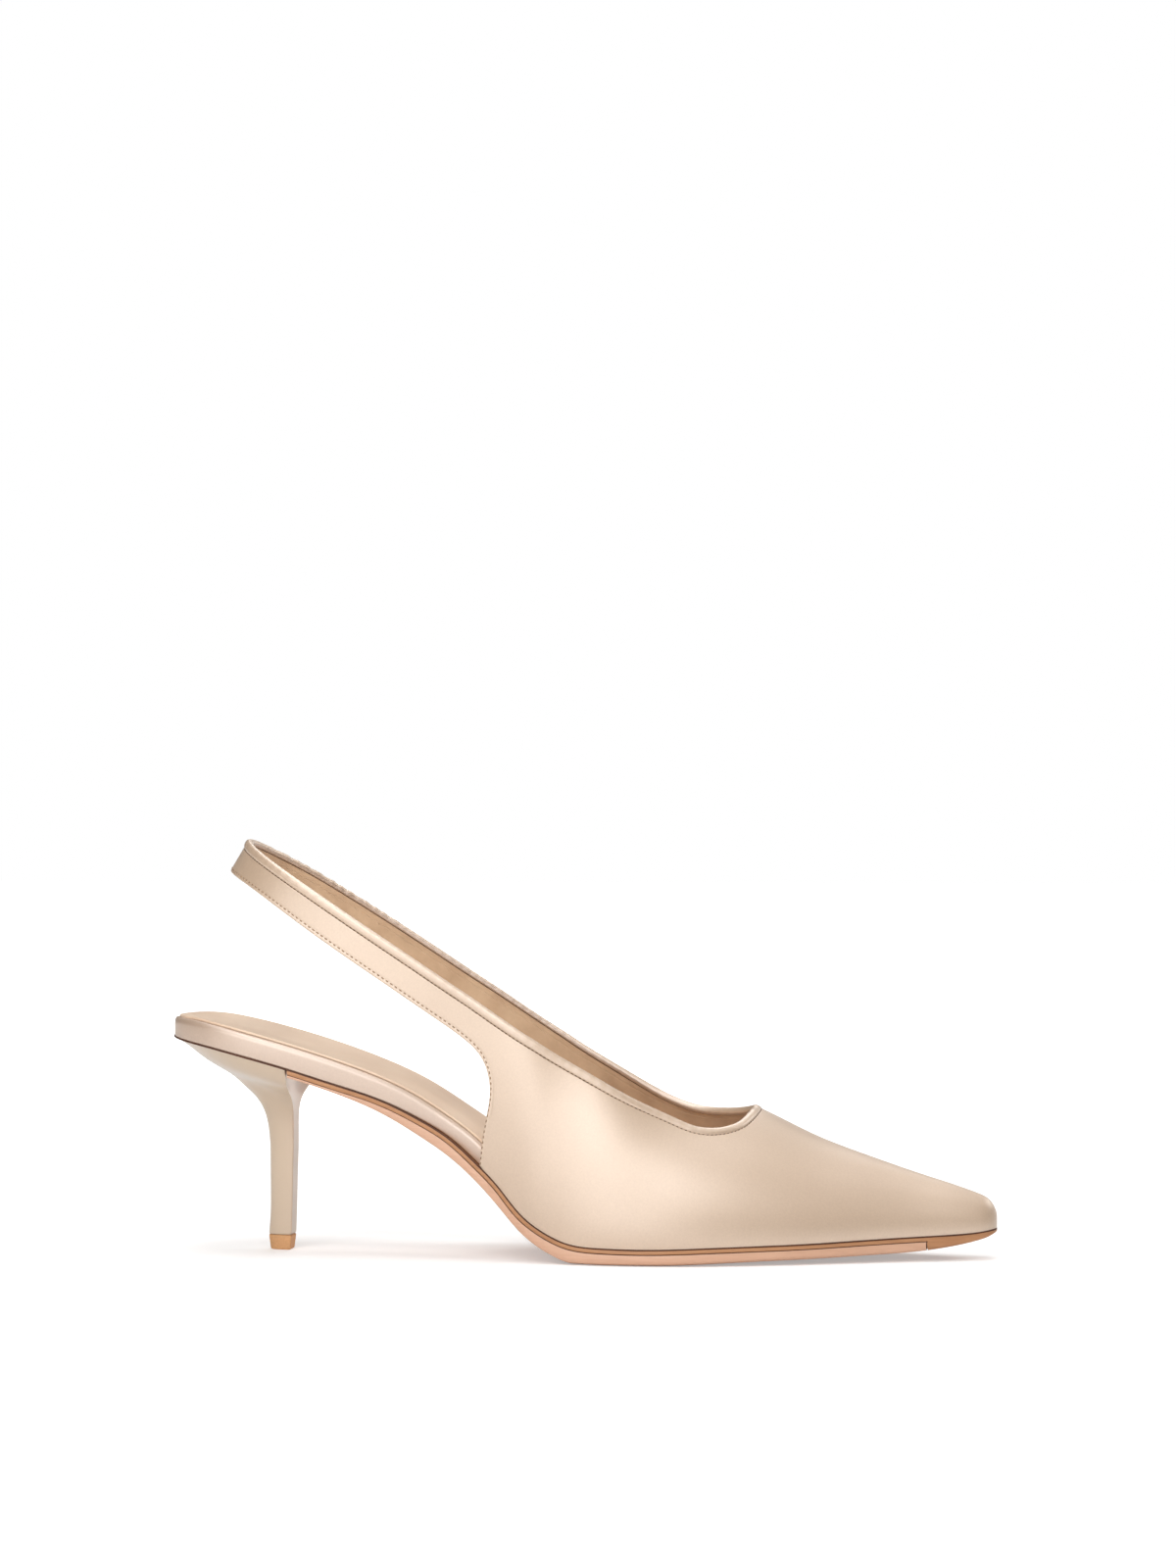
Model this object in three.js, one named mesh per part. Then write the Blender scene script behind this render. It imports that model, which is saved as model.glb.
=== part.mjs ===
import * as THREE from "three";

// Slingback pump with a pointed toe, for the right foot. Millimetres, +Z up.
// +X points to the toe and +Y to the inner side of the foot. The shoe stands
// on its top lift and on the ball of its sole, which both lie at height 0.

// Driving sizes
const HALF_LENGTH = 125;
const WALL = 1.6;
const GAP = 0.3;
const TUCK = 1.0;
const TUCK_HEIGHT = 3;
const TUCK_HALF_WIDTH = 3;
const THROAT_FRONT = 54.4;
const WAIST_FRONT = 10;
const QUARTER_BACK = -27;
const TIP_REACH = 10;
const HEEL_BREAST = -86;
const BREAST_HOLLOW = 3;
const BREAST_FADE = 10;
const TOE_CAP_BACK = 105;
const FLAT_FRONT = 28;
const FLAT_BACK = 2;
const STRIP_THICKNESS = 1.2;
const BINDING_HEIGHT = 2.7;
const BINDING_WIDTH = 2.5;
const BINDING_SIDES = 8;
const BINDING_SQUARENESS = 0.8;
const BAND_ROUNDING = 2;
const ROUNDING_ROOM = 0.7;
const BOARD_FRONT = 121;
const BOARD_CLEARANCE = 0.5;
const BAND_INSET = 0.1;
const BAND_FRONT = -62;
const SOCK_FRONT = 118;
const SOCK_THICKNESS = 0.6;
const SOCK_LENGTH_SHARE = 0.988;
const SOCK_WIDTH_SHARE = 0.93;
const DISH_DEPTH = 1.2;
const DISH_FRONT_FADE = [-40, -85];
const DISH_BACK_FADE = [-122, -108];
const STEM_TOP = 31;
const LIFT_HEIGHT = 4.3;

// The ridge of the vamp lies this far to the inner side at the throat.
const RIDGE_OFFSET = 3.2;
const RIDGE_OFFSET_REACH = 70;

// How far a shoe's end is kept clear where a slope is measured, and over what step.
const END_MARGIN = 1;
const SLOPE_STEP = 0.5;

// The largest flat share of the sole's width, and of its thickness that its edge rises.
const FLATTEST = 0.9;
const STEEPEST = 0.6;

// How square a section is near its ridge and near its foot, on each side.
const OUTER_SHAPE = { ridge: 1.7, foot: 1.9 };
const INNER_SHAPE = { ridge: 1.9, foot: 2.0 };

// Outline and heights of the bottom, a row for each station from toe to heel.
// x, outer and inner half width at the feather line, height of the feather line,
// height of the sole's lowest line, how far its edge rises above that line, and
// the share of the half width that is flat across.
const BOTTOM = [
  [125, 0, 0, 9.5, 8.6, 0, 0.9],
  [124.2, 2.8, 2.8, 9.2, 7.9, 0.2, 0.9],
  [122.5, 4.7, 4.7, 8.9, 7.0, 0.3, 0.9],
  [119, 6.5, 6.6, 8.4, 5.9, 0.4, 0.9],
  [112, 9.0, 9.2, 7.9, 4.4, 0.5, 0.9],
  [100, 13.1, 13.6, 7.4, 2.9, 0.6, 0.9],
  [85, 19.2, 20.0, 6.8, 2.1, 0.7, 0.9],
  [70, 25.6, 26.8, 6.2, 1.5, 0.8, 0.9],
  [54, 31.2, 33.0, 5.8, 1.0, 0.8, 0.9],
  [40, 34.9, 36.6, 5.4, 0.4, 0.8, 0.9],
  [25, 36.8, 36.8, 5.0, 0, 0.8, 0.9],
  [10, 36.4, 33.6, 5.2, 0, 0.8, 0.9],
  [0, 34.7, 30.2, 6.4, 0.2, 0.9, 0.8],
  [-5, 33.3, 28.4, 8.35, 2.0, 1.0, 0.7],
  [-10, 31.9, 26.6, 11.2, 4.6, 1.2, 0.55],
  [-15, 30.3, 24.9, 15.3, 8.3, 1.5, 0.4],
  [-21, 28.6, 23.0, 22.3, 14.4, 1.9, 0.2],
  [-27, 27.2, 21.4, 28.2, 20.4, 2.2, 0.1],
  [-36, 25.4, 19.7, 35.9, 27.8, 2.6, 0],
  [-45, 24.4, 19.2, 41.3, 33.7, 2.7, 0],
  [-56, 24.1, 20.1, 46.6, 40.4, 2.4, 0],
  [-70, 24.9, 22.6, 51.4, 47.2, 1.6, 0],
  [-86, 25.7, 24.9, 56.4, 53.4, 0.5, 0],
  [-100, 25.2, 25.0, 60.2, 57, 0.5, 0],
  [-110, 22.8, 22.8, 62.6, 60, 0.5, 0],
  [-118, 17.5, 17.5, 64.1, 62, 0.5, 0],
  [-122, 12.4, 12.4, 64.8, 63, 0.5, 0],
  [-124.2, 6.8, 6.8, 65.2, 63.5, 0.5, 0],
  [-125, 0, 0, 65.3, 63.6, 0.5, 0],
];
const BOTTOM_COLUMNS = { outer: 1, inner: 2, feather: 3, lowest: 4, edgeRise: 5, flatShare: 6 };

// Height of the footbed's rim, a row for each station.
const FOOTBED = [
  [125, 12],
  [112, 10.6],
  [85, 9.4],
  [54, 8.3],
  [25, 7.7],
  [10, 8.5],
  [0, 11.4],
  [-10, 18.2],
  [-18, 26.2],
  [-27, 35.7],
  [-36, 42.5],
  [-48, 50.0],
  [-62, 56.3],
  [-78, 61.8],
  [-92, 65.9],
  [-104, 69.0],
  [-114, 71.1],
  [-121, 71.6],
  [-125, 71.2],
];

// Sections of the last under the vamp and quarters, a row for each station.
// x, height of the ridge, which is cut away behind the throat, and how far the
// outer and inner walls lean out for each millimetre of height.
const LAST = [
  [125, 12.4, 0, 0],
  [124.2, 15.6, 0, 0],
  [122.5, 17.9, 0, 0],
  [119, 19.7, 0, 0],
  [112, 22.1, 0, 0],
  [100, 25.8, 0, 0],
  [85, 30.8, 0, 0],
  [70, 36.4, 0, 0],
  [54.4, 43.8, 0, 0],
  [43, 48.8, 0, 0],
  [34, 53.6, 0, 0],
  [23, 63, 0, 0],
  [10, 82, 0, 0.01],
  [0, 100, 0, 0.04],
  [-14, 135, 0.04, 0.105],
  [-27, 175, 0.05, 0.165],
];
const LAST_COLUMNS = { ridge: 1, outerLean: 2, innerLean: 3 };

// Height of the top edge of the upper ahead of the strap: x, outer side, inner side.
const TOPLINE = [
  [54.4, 43.8, 43.8],
  [53.6, 42.1, 43.3],
  [51.2, 39.7, 42.4],
  [48.5, 38.5, 41.7],
  [45.5, 37.8, 41.2],
  [42, 37.6, 40.9],
  [36, 38.5, 40.8],
  [29, 41.4, 42.0],
  [17, 47.0, 46.9],
  [6, 53.0, 52.9],
  [-5.5, 59.5, 59.5],
  [-14, 64.7, 64.7],
];

// Ribs of the quarter's back and of the strap, from the lower back corner of the
// quarter to the middle of the strap's back: x and z of the lower edge, x and z
// of the top edge, and the half width of the strap's loop.
const RIBS = [
  [-27.0, 28.2, -6.0, 59.8, 29.3],
  [-25.2, 40.0, -11.0, 62.9, 29.2],
  [-23.5, 50.0, -15.5, 65.6, 29.1],
  [-24.6, 57.2, -19.6, 68.2, 29.0],
  [-27.3, 62.0, -24.0, 71.1, 28.9],
  [-32.3, 66.5, -29.5, 74.8, 28.7],
  [-41.0, 72.5, -37.0, 79.7, 28.4],
  [-53.0, 80.5, -48.4, 87.2, 28.0],
  [-71.0, 92.4, -66.4, 98.9, 26.9],
  [-84.0, 101.1, -79.6, 107.4, 24.3],
  [-95.0, 108.4, -90.8, 114.4, 19.9],
  [-102.5, 112.7, -98.4, 119.0, 13.6],
  [-106.7, 114.8, -102.5, 121.6, 6.9],
  [-108.0, 115.4, -103.8, 122.5, 0],
];
const STRAP_BLEND = { front: -12, back: -46 };

// How the heel narrows from its seat to its stem: the share of the height between
// them, and the share of the flare that is left at the back and at the sides.
const FLARE = [
  [1.0, 1.0, 1.0],
  [0.94, 0.88, 0.95],
  [0.87, 0.77, 0.88],
  [0.79, 0.64, 0.76],
  [0.71, 0.5, 0.54],
  [0.63, 0.375, 0.28],
  [0.55, 0.275, 0.12],
  [0.47, 0.175, 0.04],
  [0.38, 0.095, 0.01],
  [0.28, 0.045, 0],
  [0.15, 0.015, 0],
  [0, 0, 0],
];

// The stem of the heel and the top lift under it: height, front, back, half width.
const STEM = [
  [STEM_TOP, -87.9, -95.9, 4.2],
  [20, -88.2, -95.8, 4.0],
  [10, -88.4, -95.9, 3.9],
  [LIFT_HEIGHT + GAP, -88.6, -96.3, 3.9],
];
const LIFT = [
  [LIFT_HEIGHT, -88.6, -96.3, 3.9],
  [0, -89.1, -95.7, 3.4],
];

// Smooth curves through a table's column. The variable is the angle whose cosine
// is x over the half length, so that outlines round off at toe and heel.
function angleOf(x) {
  return Math.acos(THREE.MathUtils.clamp(x / HALF_LENGTH, -1, 1));
}

function naturalSpline(knots, values) {
  const count = knots.length;
  const bend = new Array(count).fill(0);
  const carry = new Array(count).fill(0);
  for (let i = 1; i < count - 1; i += 1) {
    const before = knots[i] - knots[i - 1];
    const after = knots[i + 1] - knots[i];
    const share = before / (before + after);
    const pivot = share * bend[i - 1] + 2;
    const turn = (values[i + 1] - values[i]) / after - (values[i] - values[i - 1]) / before;
    bend[i] = (share - 1) / pivot;
    carry[i] = ((6 * turn) / (before + after) - share * carry[i - 1]) / pivot;
  }
  const second = new Array(count).fill(0);
  for (let i = count - 2; i > 0; i -= 1) {
    second[i] = bend[i] * second[i + 1] + carry[i];
  }
  return (at) => {
    let i = 0;
    while (i < count - 2 && at > knots[i + 1]) {
      i += 1;
    }
    const step = knots[i + 1] - knots[i];
    const right = (at - knots[i]) / step;
    const left = 1 - right;
    const curl = ((left ** 3 - left) * second[i] + (right ** 3 - right) * second[i + 1]) * step * step;
    return left * values[i] + right * values[i + 1] + curl / 6;
  };
}

function columnCurve(rows, column, variable = angleOf) {
  const spline = naturalSpline(rows.map((row) => variable(row[0])), rows.map((row) => row[column]));
  return (x) => spline(variable(x));
}

function smoothstep(from, to, x) {
  const share = THREE.MathUtils.clamp((x - from) / (to - from), 0, 1);
  return share * share * (3 - 2 * share);
}

const outerHalf = columnCurve(BOTTOM, BOTTOM_COLUMNS.outer);
const innerHalf = columnCurve(BOTTOM, BOTTOM_COLUMNS.inner);
const featherHeight = columnCurve(BOTTOM, BOTTOM_COLUMNS.feather);
const lowestSpline = columnCurve(BOTTOM, BOTTOM_COLUMNS.lowest);
const edgeRise = columnCurve(BOTTOM, BOTTOM_COLUMNS.edgeRise);
const flatShare = columnCurve(BOTTOM, BOTTOM_COLUMNS.flatShare);
const rimHeight = columnCurve(FOOTBED, 1);
const ridgeHeight = columnCurve(LAST, LAST_COLUMNS.ridge);
const outerLean = columnCurve(LAST, LAST_COLUMNS.outerLean);
const innerLean = columnCurve(LAST, LAST_COLUMNS.innerLean);

// Side -1 is the outer side and side 1 the inner side.
function footHalf(x, side) {
  return Math.max(0, side < 0 ? outerHalf(x) : innerHalf(x));
}

function lowestHeight(x) {
  return x > FLAT_BACK && x < FLAT_FRONT ? 0 : Math.max(0, lowestSpline(x));
}

function slopeFactor(curve, x) {
  const slope = (curve(x + SLOPE_STEP) - curve(x - SLOPE_STEP)) / (2 * SLOPE_STEP);
  return Math.hypot(1, slope);
}

// Height of the plane that lies this far below the feather line, square to it.
function belowFeather(x, depth) {
  const inside = THREE.MathUtils.clamp(x, END_MARGIN - HALF_LENGTH, HALF_LENGTH - END_MARGIN);
  return featherHeight(x) - depth * slopeFactor(featherHeight, inside);
}

const midsoleTop = (x) => belowFeather(x, GAP);
const stripHeight = (x) => belowFeather(x, GAP + STRIP_THICKNESS);
const outsoleTop = (x) => belowFeather(x, 2 * GAP + STRIP_THICKNESS);

// Stations: even steps of the angle between given places along the shoe.
function stations(breaks) {
  const list = [breaks[0][0]];
  for (const [from, to, steps] of breaks) {
    for (let k = 1; k <= steps; k += 1) {
      const angle = THREE.MathUtils.lerp(angleOf(from), angleOf(to), k / steps);
      list.push(k === steps ? to : HALF_LENGTH * Math.cos(angle));
    }
  }
  return list;
}

// A closed body gathered from triangles. Corners that meet share one vertex,
// and triangles that shrink to a line are left out.
class Body {
  constructor() {
    this.points = [];
    this.faces = [];
    this.lookup = new Map();
  }

  vertex(point) {
    const key = point.toArray().map((value) => Math.round(value * 1e4)).join();
    if (!this.lookup.has(key)) {
      this.lookup.set(key, this.points.length);
      this.points.push(point.clone());
    }
    return this.lookup.get(key);
  }

  triangle(a, b, c) {
    const face = [this.vertex(a), this.vertex(b), this.vertex(c)];
    if (face[0] !== face[1] && face[1] !== face[2] && face[2] !== face[0]) {
      this.faces.push(face);
    }
  }

  quad(a, b, c, d) {
    if (a.distanceToSquared(c) <= b.distanceToSquared(d)) {
      this.triangle(a, b, c);
      this.triangle(a, c, d);
    } else {
      this.triangle(a, b, d);
      this.triangle(b, c, d);
    }
  }

  volume() {
    const [a, b, c] = [new THREE.Vector3(), new THREE.Vector3(), new THREE.Vector3()];
    let sum = 0;
    for (const [i, j, k] of this.faces) {
      a.copy(this.points[i]);
      b.copy(this.points[j]);
      c.copy(this.points[k]);
      sum += a.dot(b.cross(c));
    }
    return sum / 6;
  }

  geometry() {
    const outward = this.volume() > 0;
    const geometry = new THREE.BufferGeometry().setFromPoints(this.points);
    geometry.setIndex(this.faces.flatMap(([i, j, k]) => (outward ? [i, j, k] : [i, k, j])));
    geometry.computeVertexNormals();
    return geometry;
  }
}

// A body from rings of equal count. pairOf gives the ring place that faces each
// place across the section, which closes an end with strips. Without it, an end
// is a fan round the ring's middle, and surface gives the first middle's height.
function loft(rings, pairOf, surface) {
  const body = new Body();
  const count = rings[0].length;
  for (let i = 0; i + 1 < rings.length; i += 1) {
    for (let k = 0; k < count; k += 1) {
      const next = (k + 1) % count;
      body.quad(rings[i][k], rings[i][next], rings[i + 1][next], rings[i + 1][k]);
    }
  }
  closeEnd(body, rings[0], false, pairOf, surface);
  closeEnd(body, rings.at(-1), true, pairOf);
  return body;
}

function closeEnd(body, ring, forward, pairOf, surface) {
  const count = ring.length;
  const middle = ring.reduce((sum, point) => sum.add(point), new THREE.Vector3()).divideScalar(count);
  if (surface) {
    middle.setZ(surface(middle.x));
  }
  for (let k = 0; pairOf ? k + 1 <= pairOf(k + 1, count) : k < count; k += 1) {
    const next = (k + 1) % count;
    const across = pairOf ? [ring[pairOf(k + 1, count)], ring[pairOf(k, count)]] : [middle, middle];
    const corners = [ring[k], ring[next], ...across];
    const [a, b, c, d] = forward ? corners : corners.reverse();
    body.quad(a, b, c, d);
  }
}

const acrossPair = (k, count) => count - 1 - k;

// The upper's outer surface
function ridgeSide(x) {
  return RIDGE_OFFSET * smoothstep(0, RIDGE_OFFSET_REACH, HALF_LENGTH - x);
}

// How far the last reaches out to one side at a place and height.
function lastHalf(x, z, side) {
  const shape = side < 0 ? OUTER_SHAPE : INNER_SHAPE;
  const lean = side < 0 ? outerLean(x) : innerLean(x);
  const foot = featherHeight(x);
  const above = Math.max(0, z - foot);
  const share = THREE.MathUtils.clamp(above / (ridgeHeight(x) - foot), 0, 1);
  const half = footHalf(x, side);
  const tuck = TUCK * (half / (half + TUCK_HALF_WIDTH));
  const offset = Math.min(ridgeSide(x), half) * side;
  const spread = (half + tuck - offset) * (1 - share ** shape.foot) ** (1 / shape.ridge);
  return spread + offset - tuck * Math.exp(-above / TUCK_HEIGHT) + lean * above;
}

// Shares of the way up a rib, closer together at the foot.
const COLUMNS = [0, 0.055, 0.13, 0.24, 0.38, 0.53, 0.68, 0.82, 0.93, 1];

// A rib is a line in the side view, from the upper's lower edge to its top edge.
function ribPoints(rib, side) {
  const { low, top, strap, half, wraps } = rib;
  return COLUMNS.map((column) => {
    const rise = wraps(column);
    const x = THREE.MathUtils.lerp(low.x, top.x, rise);
    const z = THREE.MathUtils.lerp(low.z, top.z, rise);
    const last = strap < 1 ? lastHalf(x, z, side) : 0;
    const y = side * THREE.MathUtils.lerp(last, half, strap);
    return new THREE.Vector3(x, y, z);
  });
}

// Ahead of the quarter's back a rib stands on the feather line. Its columns follow
// the section's own angle, so that they gather where the vamp turns over its ridge.
function sectionRib(x, topX, topZ, side) {
  const shape = side < 0 ? OUTER_SHAPE : INNER_SHAPE;
  const foot = featherHeight(x);
  const share = THREE.MathUtils.clamp((topZ - foot) / (ridgeHeight(x) - foot), 0, 1);
  const angle = Math.asin(share ** (shape.foot / 2));
  const gather = smoothstep(HALF_LENGTH, HALF_LENGTH - TIP_REACH, x);
  const turned = (column) => (Math.sin(angle * column) / Math.sin(angle)) ** (2 / shape.foot);
  return {
    low: { x, z: foot },
    top: { x: topX, z: topZ },
    strap: smoothstep(STRAP_BLEND.front, STRAP_BLEND.back, topX),
    half: RIBS[0][4],
    wraps: (column) => THREE.MathUtils.lerp(column, turned(column), gather),
  };
}

// Ribs of the strap are samples of a smooth curve through the rib table, run on
// past the middle of the back so that the loop closes without a corner.
function strapRibs(steps) {
  const beyond = RIBS.slice(0, -1).reverse().map((row) => [...row.slice(0, 4), -row[4]]);
  const rows = [...RIBS, ...beyond];
  const along = [0];
  for (let i = 1; i < rows.length; i += 1) {
    const change = rows[i].map((value, column) => value - rows[i - 1][column]);
    along.push(along[i - 1] + Math.hypot(...change));
  }
  const curves = RIBS[0].map((_, column) => naturalSpline(along, rows.map((row) => row[column])));
  const end = along[RIBS.length - 1];
  const ribs = [];
  for (let k = 0; k <= steps; k += 1) {
    const [lowX, lowZ, topX, topZ, half] = curves.map((curve) => curve((end * k) / steps));
    ribs.push({
      low: { x: lowX, z: lowZ },
      top: { x: topX, z: topZ },
      strap: smoothstep(STRAP_BLEND.front, STRAP_BLEND.back, topX),
      half: k === steps ? 0 : half,
      wraps: (column) => column,
    });
  }
  return ribs;
}

// Stations of the upper: the closed vamp, the throat, and the quarter's foot.
const VAMP_STATIONS = stations([[HALF_LENGTH, 112, 6], [112, THROAT_FRONT, 8]]);
const THROAT_STEPS = [0.25, 1, 2.3, 4.1, 6.4];
const SIDE_STATIONS = stations([[THROAT_FRONT - THROAT_STEPS.at(-1), WAIST_FRONT, 5]]).slice(1);
const QUARTER_STATIONS = stations([[WAIST_FRONT, QUARTER_BACK, 9]]).slice(1, -1);
const STRAP_STEPS = 25;

function upperRibs(side) {
  const sqrtBehindThroat = (x) => Math.sqrt(Math.max(0, THROAT_FRONT - x));
  const topHeight = columnCurve(TOPLINE, side < 0 ? 1 : 2, sqrtBehindThroat);
  const ribs = VAMP_STATIONS.map((x) => sectionRib(x, x, ridgeHeight(x), side));
  const open = [...THROAT_STEPS.map((step) => THROAT_FRONT - step), ...SIDE_STATIONS];
  for (const x of open) {
    ribs.push(sectionRib(x, x, topHeight(x), side));
  }
  const lastOpen = open.at(-1);
  for (const x of QUARTER_STATIONS) {
    const share = (lastOpen - x) / (lastOpen - QUARTER_BACK);
    const topX = THREE.MathUtils.lerp(lastOpen, RIBS[0][2], share);
    ribs.push(sectionRib(x, topX, topHeight(topX), side));
  }
  return [...ribs, ...strapRibs(STRAP_STEPS)];
}

const FOOT_RIBS = VAMP_STATIONS.length + THROAT_STEPS.length + SIDE_STATIONS.length
  + QUARTER_STATIONS.length + 1;

// The upper's outer surface as a grid of points, a row for each rib.
const OUTER_GRID = upperRibs(-1).map((rib) => ribPoints(rib, -1));
const INNER_GRID = upperRibs(1).map((rib) => ribPoints(rib, 1));

function makeSheet() {
  const sheet = new Body();
  for (const [grid, side] of [[OUTER_GRID, -1], [INNER_GRID, 1]]) {
    for (let i = 0; i + 1 < grid.length; i += 1) {
      for (let j = 0; j + 1 < COLUMNS.length; j += 1) {
        const corners = [grid[i][j], grid[i][j + 1], grid[i + 1][j + 1], grid[i + 1][j]];
        const [a, b, c, d] = side < 0 ? corners : corners.reverse();
        sheet.quad(a, b, c, d);
      }
    }
  }
  return sheet;
}

function sheetNormals(sheet) {
  const normals = sheet.points.map(() => new THREE.Vector3());
  const triangle = new THREE.Triangle();
  const normal = new THREE.Vector3();
  for (const face of sheet.faces) {
    triangle.setFromPointsAndIndices(sheet.points, ...face);
    triangle.getNormal(normal).multiplyScalar(triangle.getArea());
    face.forEach((index) => normals[index].add(normal));
  }
  normals.forEach((value) => value.normalize());
  return normals;
}

// The sheet's normals face out of the shoe. Along the foot they are level, so that
// the lower edge of the wall lies flat on the midsole.
const SHEET = makeSheet();
const NORMALS = sheetNormals(SHEET);
for (const grid of [OUTER_GRID, INNER_GRID]) {
  for (const row of grid.slice(0, FOOT_RIBS)) {
    NORMALS[SHEET.vertex(row[0])].setZ(0).normalize();
  }
}

// The wall: the sheet, the same sheet set in by the wall's thickness, and a strip
// along each free edge.
function makeUpper() {
  const body = new Body();
  const inside = SHEET.points.map((point, i) => point.clone().addScaledVector(NORMALS[i], -WALL));
  const edges = new Map();
  for (const [i, j, k] of SHEET.faces) {
    body.triangle(SHEET.points[i], SHEET.points[j], SHEET.points[k]);
    body.triangle(inside[i], inside[k], inside[j]);
    for (const [from, to] of [[i, j], [j, k], [k, i]]) {
      if (!edges.delete(`${to},${from}`)) {
        edges.set(`${from},${to}`, [from, to]);
      }
    }
  }
  for (const [from, to] of edges.values()) {
    body.quad(SHEET.points[to], SHEET.points[from], inside[from], inside[to]);
  }
  return body;
}

// A rounded square between a circle and a box, for the binding's section.
function roundedShare(value) {
  return Math.sign(value) * Math.abs(value) ** BINDING_SQUARENESS;
}

// The binding: a rolled ring along the upper's top edge, from the throat round the
// strap's back and home again.
function makeBinding() {
  const throat = VAMP_STATIONS.length - 1;
  const outer = OUTER_GRID.slice(throat).map((row) => row.at(-1));
  const inner = INNER_GRID.slice(throat + 1, -1).map((row) => row.at(-1));
  const path = [...outer, ...inner.reverse()];
  const rings = path.map((point, i) => {
    const before = path[(i + path.length - 1) % path.length];
    const after = path[(i + 1) % path.length];
    const along = after.clone().sub(before).normalize();
    const out = NORMALS[SHEET.vertex(point)].clone();
    const up = new THREE.Vector3().crossVectors(along, out).normalize();
    const centre = point.clone().addScaledVector(out, -WALL / 2);
    centre.addScaledVector(up, GAP + BINDING_HEIGHT / 2);
    const ring = [];
    for (let k = 0; k < BINDING_SIDES; k += 1) {
      const turn = (2 * Math.PI * (k + 0.5)) / BINDING_SIDES;
      const place = centre.clone().addScaledVector(out, roundedShare(Math.cos(turn)) * BINDING_WIDTH / 2);
      ring.push(place.addScaledVector(up, roundedShare(Math.sin(turn)) * BINDING_HEIGHT / 2));
    }
    return ring;
  });
  const body = new Body();
  rings.forEach((ring, i) => {
    const next = rings[(i + 1) % rings.length];
    ring.forEach((point, k) => {
      const turn = (k + 1) % BINDING_SIDES;
      body.quad(point, ring[turn], next[turn], next[k]);
    });
  });
  return body;
}

// Pieces of the bottom are lofts of sections across the shoe. A section is a list
// of columns from the outer to the inner side, each with a top and a bottom point.
const ACROSS = [-1, -0.94, -0.8, -0.5, 0, 0.5, 0.8, 0.94, 1];

function acrossRing(columns) {
  return [...columns.map((column) => column.top), ...columns.map((column) => column.bottom).reverse()];
}

// Near the heel the sole's end follows the hollow of the heel's breast.
function breastShift(x, share) {
  const fade = smoothstep(HEEL_BREAST + BREAST_FADE, HEEL_BREAST, x);
  return -BREAST_HOLLOW * (1 - share * share) * fade;
}

function soleRing(x, topHeight, bottomHeight) {
  return acrossRing(ACROSS.map((share) => {
    const place = x + breastShift(x, share);
    const y = share * footHalf(x, share);
    return {
      top: new THREE.Vector3(place, y, topHeight(place, share)),
      bottom: new THREE.Vector3(place, y, bottomHeight(place, share)),
    };
  }));
}

const SOLE_BACK = HEEL_BREAST + 2 * GAP;
const SOLE_BREAKS = [[WAIST_FRONT, QUARTER_BACK, 9], [QUARTER_BACK, SOLE_BACK, 8]];

// The outsole's lower side: its edge stands above its lowest line.
function soleBottom(x, share) {
  const flat = THREE.MathUtils.clamp(flatShare(x), 0, FLATTEST);
  const outside = Math.max(0, (Math.abs(share) - flat) / (1 - flat));
  const room = Math.max(0, midsoleTop(x) - lowestHeight(x));
  return lowestHeight(x) + Math.min(edgeRise(x), STEEPEST * room) * outside * outside;
}

function makeMidsole() {
  const breaks = [[HALF_LENGTH, TOE_CAP_BACK, 8], [TOE_CAP_BACK, WAIST_FRONT, 10], ...SOLE_BREAKS];
  const rings = [];
  for (const x of stations(breaks)) {
    if (x >= TOE_CAP_BACK) {
      rings.push(soleRing(x, midsoleTop, soleBottom));
    }
    if (x <= TOE_CAP_BACK) {
      rings.push(soleRing(Math.min(x, TOE_CAP_BACK - GAP), midsoleTop, stripHeight));
    }
  }
  return loft(rings, acrossPair);
}

function makeOutsole() {
  const list = stations([[TOE_CAP_BACK - 2 * GAP, WAIST_FRONT, 10], ...SOLE_BREAKS]);
  return loft(list.map((x) => soleRing(x, outsoleTop, soleBottom)), acrossPair);
}

// The insole board fills the inside of the upper, and widens to the heel's outline
// behind the quarters, where its edge shows as a band.
function boardHalf(x, side) {
  const inside = smoothstep(BAND_FRONT, QUARTER_BACK - WALL, x);
  const inset = THREE.MathUtils.lerp(BAND_INSET, WALL + BOARD_CLEARANCE, inside);
  const outline = (at) => footHalf(at, side);
  const steep = inside > 0 ? slopeFactor(outline, Math.min(x, HALF_LENGTH - END_MARGIN)) : 1;
  return Math.max(0, footHalf(x, side) - inset * steep);
}

function dish(x, share) {
  const depth = DISH_DEPTH * smoothstep(...DISH_FRONT_FADE, x) * smoothstep(...DISH_BACK_FADE, x);
  return depth * (1 - share * share);
}

const BOARD_STATIONS = stations([[BOARD_FRONT, WAIST_FRONT, 10], [WAIST_FRONT, QUARTER_BACK, 9],
  [QUARTER_BACK, -100, 9], [-100, -HALF_LENGTH, 9]]);

function boardTop(x, share) {
  return rimHeight(x) - SOCK_THICKNESS - GAP - dish(x, share);
}

// Places across the board: its rounded edges, then even steps between them.
const ROUND_TURNS = [0, 45, 90].map(THREE.MathUtils.degToRad);
const BOARD_ACROSS = [-0.6, 0, 0.6];

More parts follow.
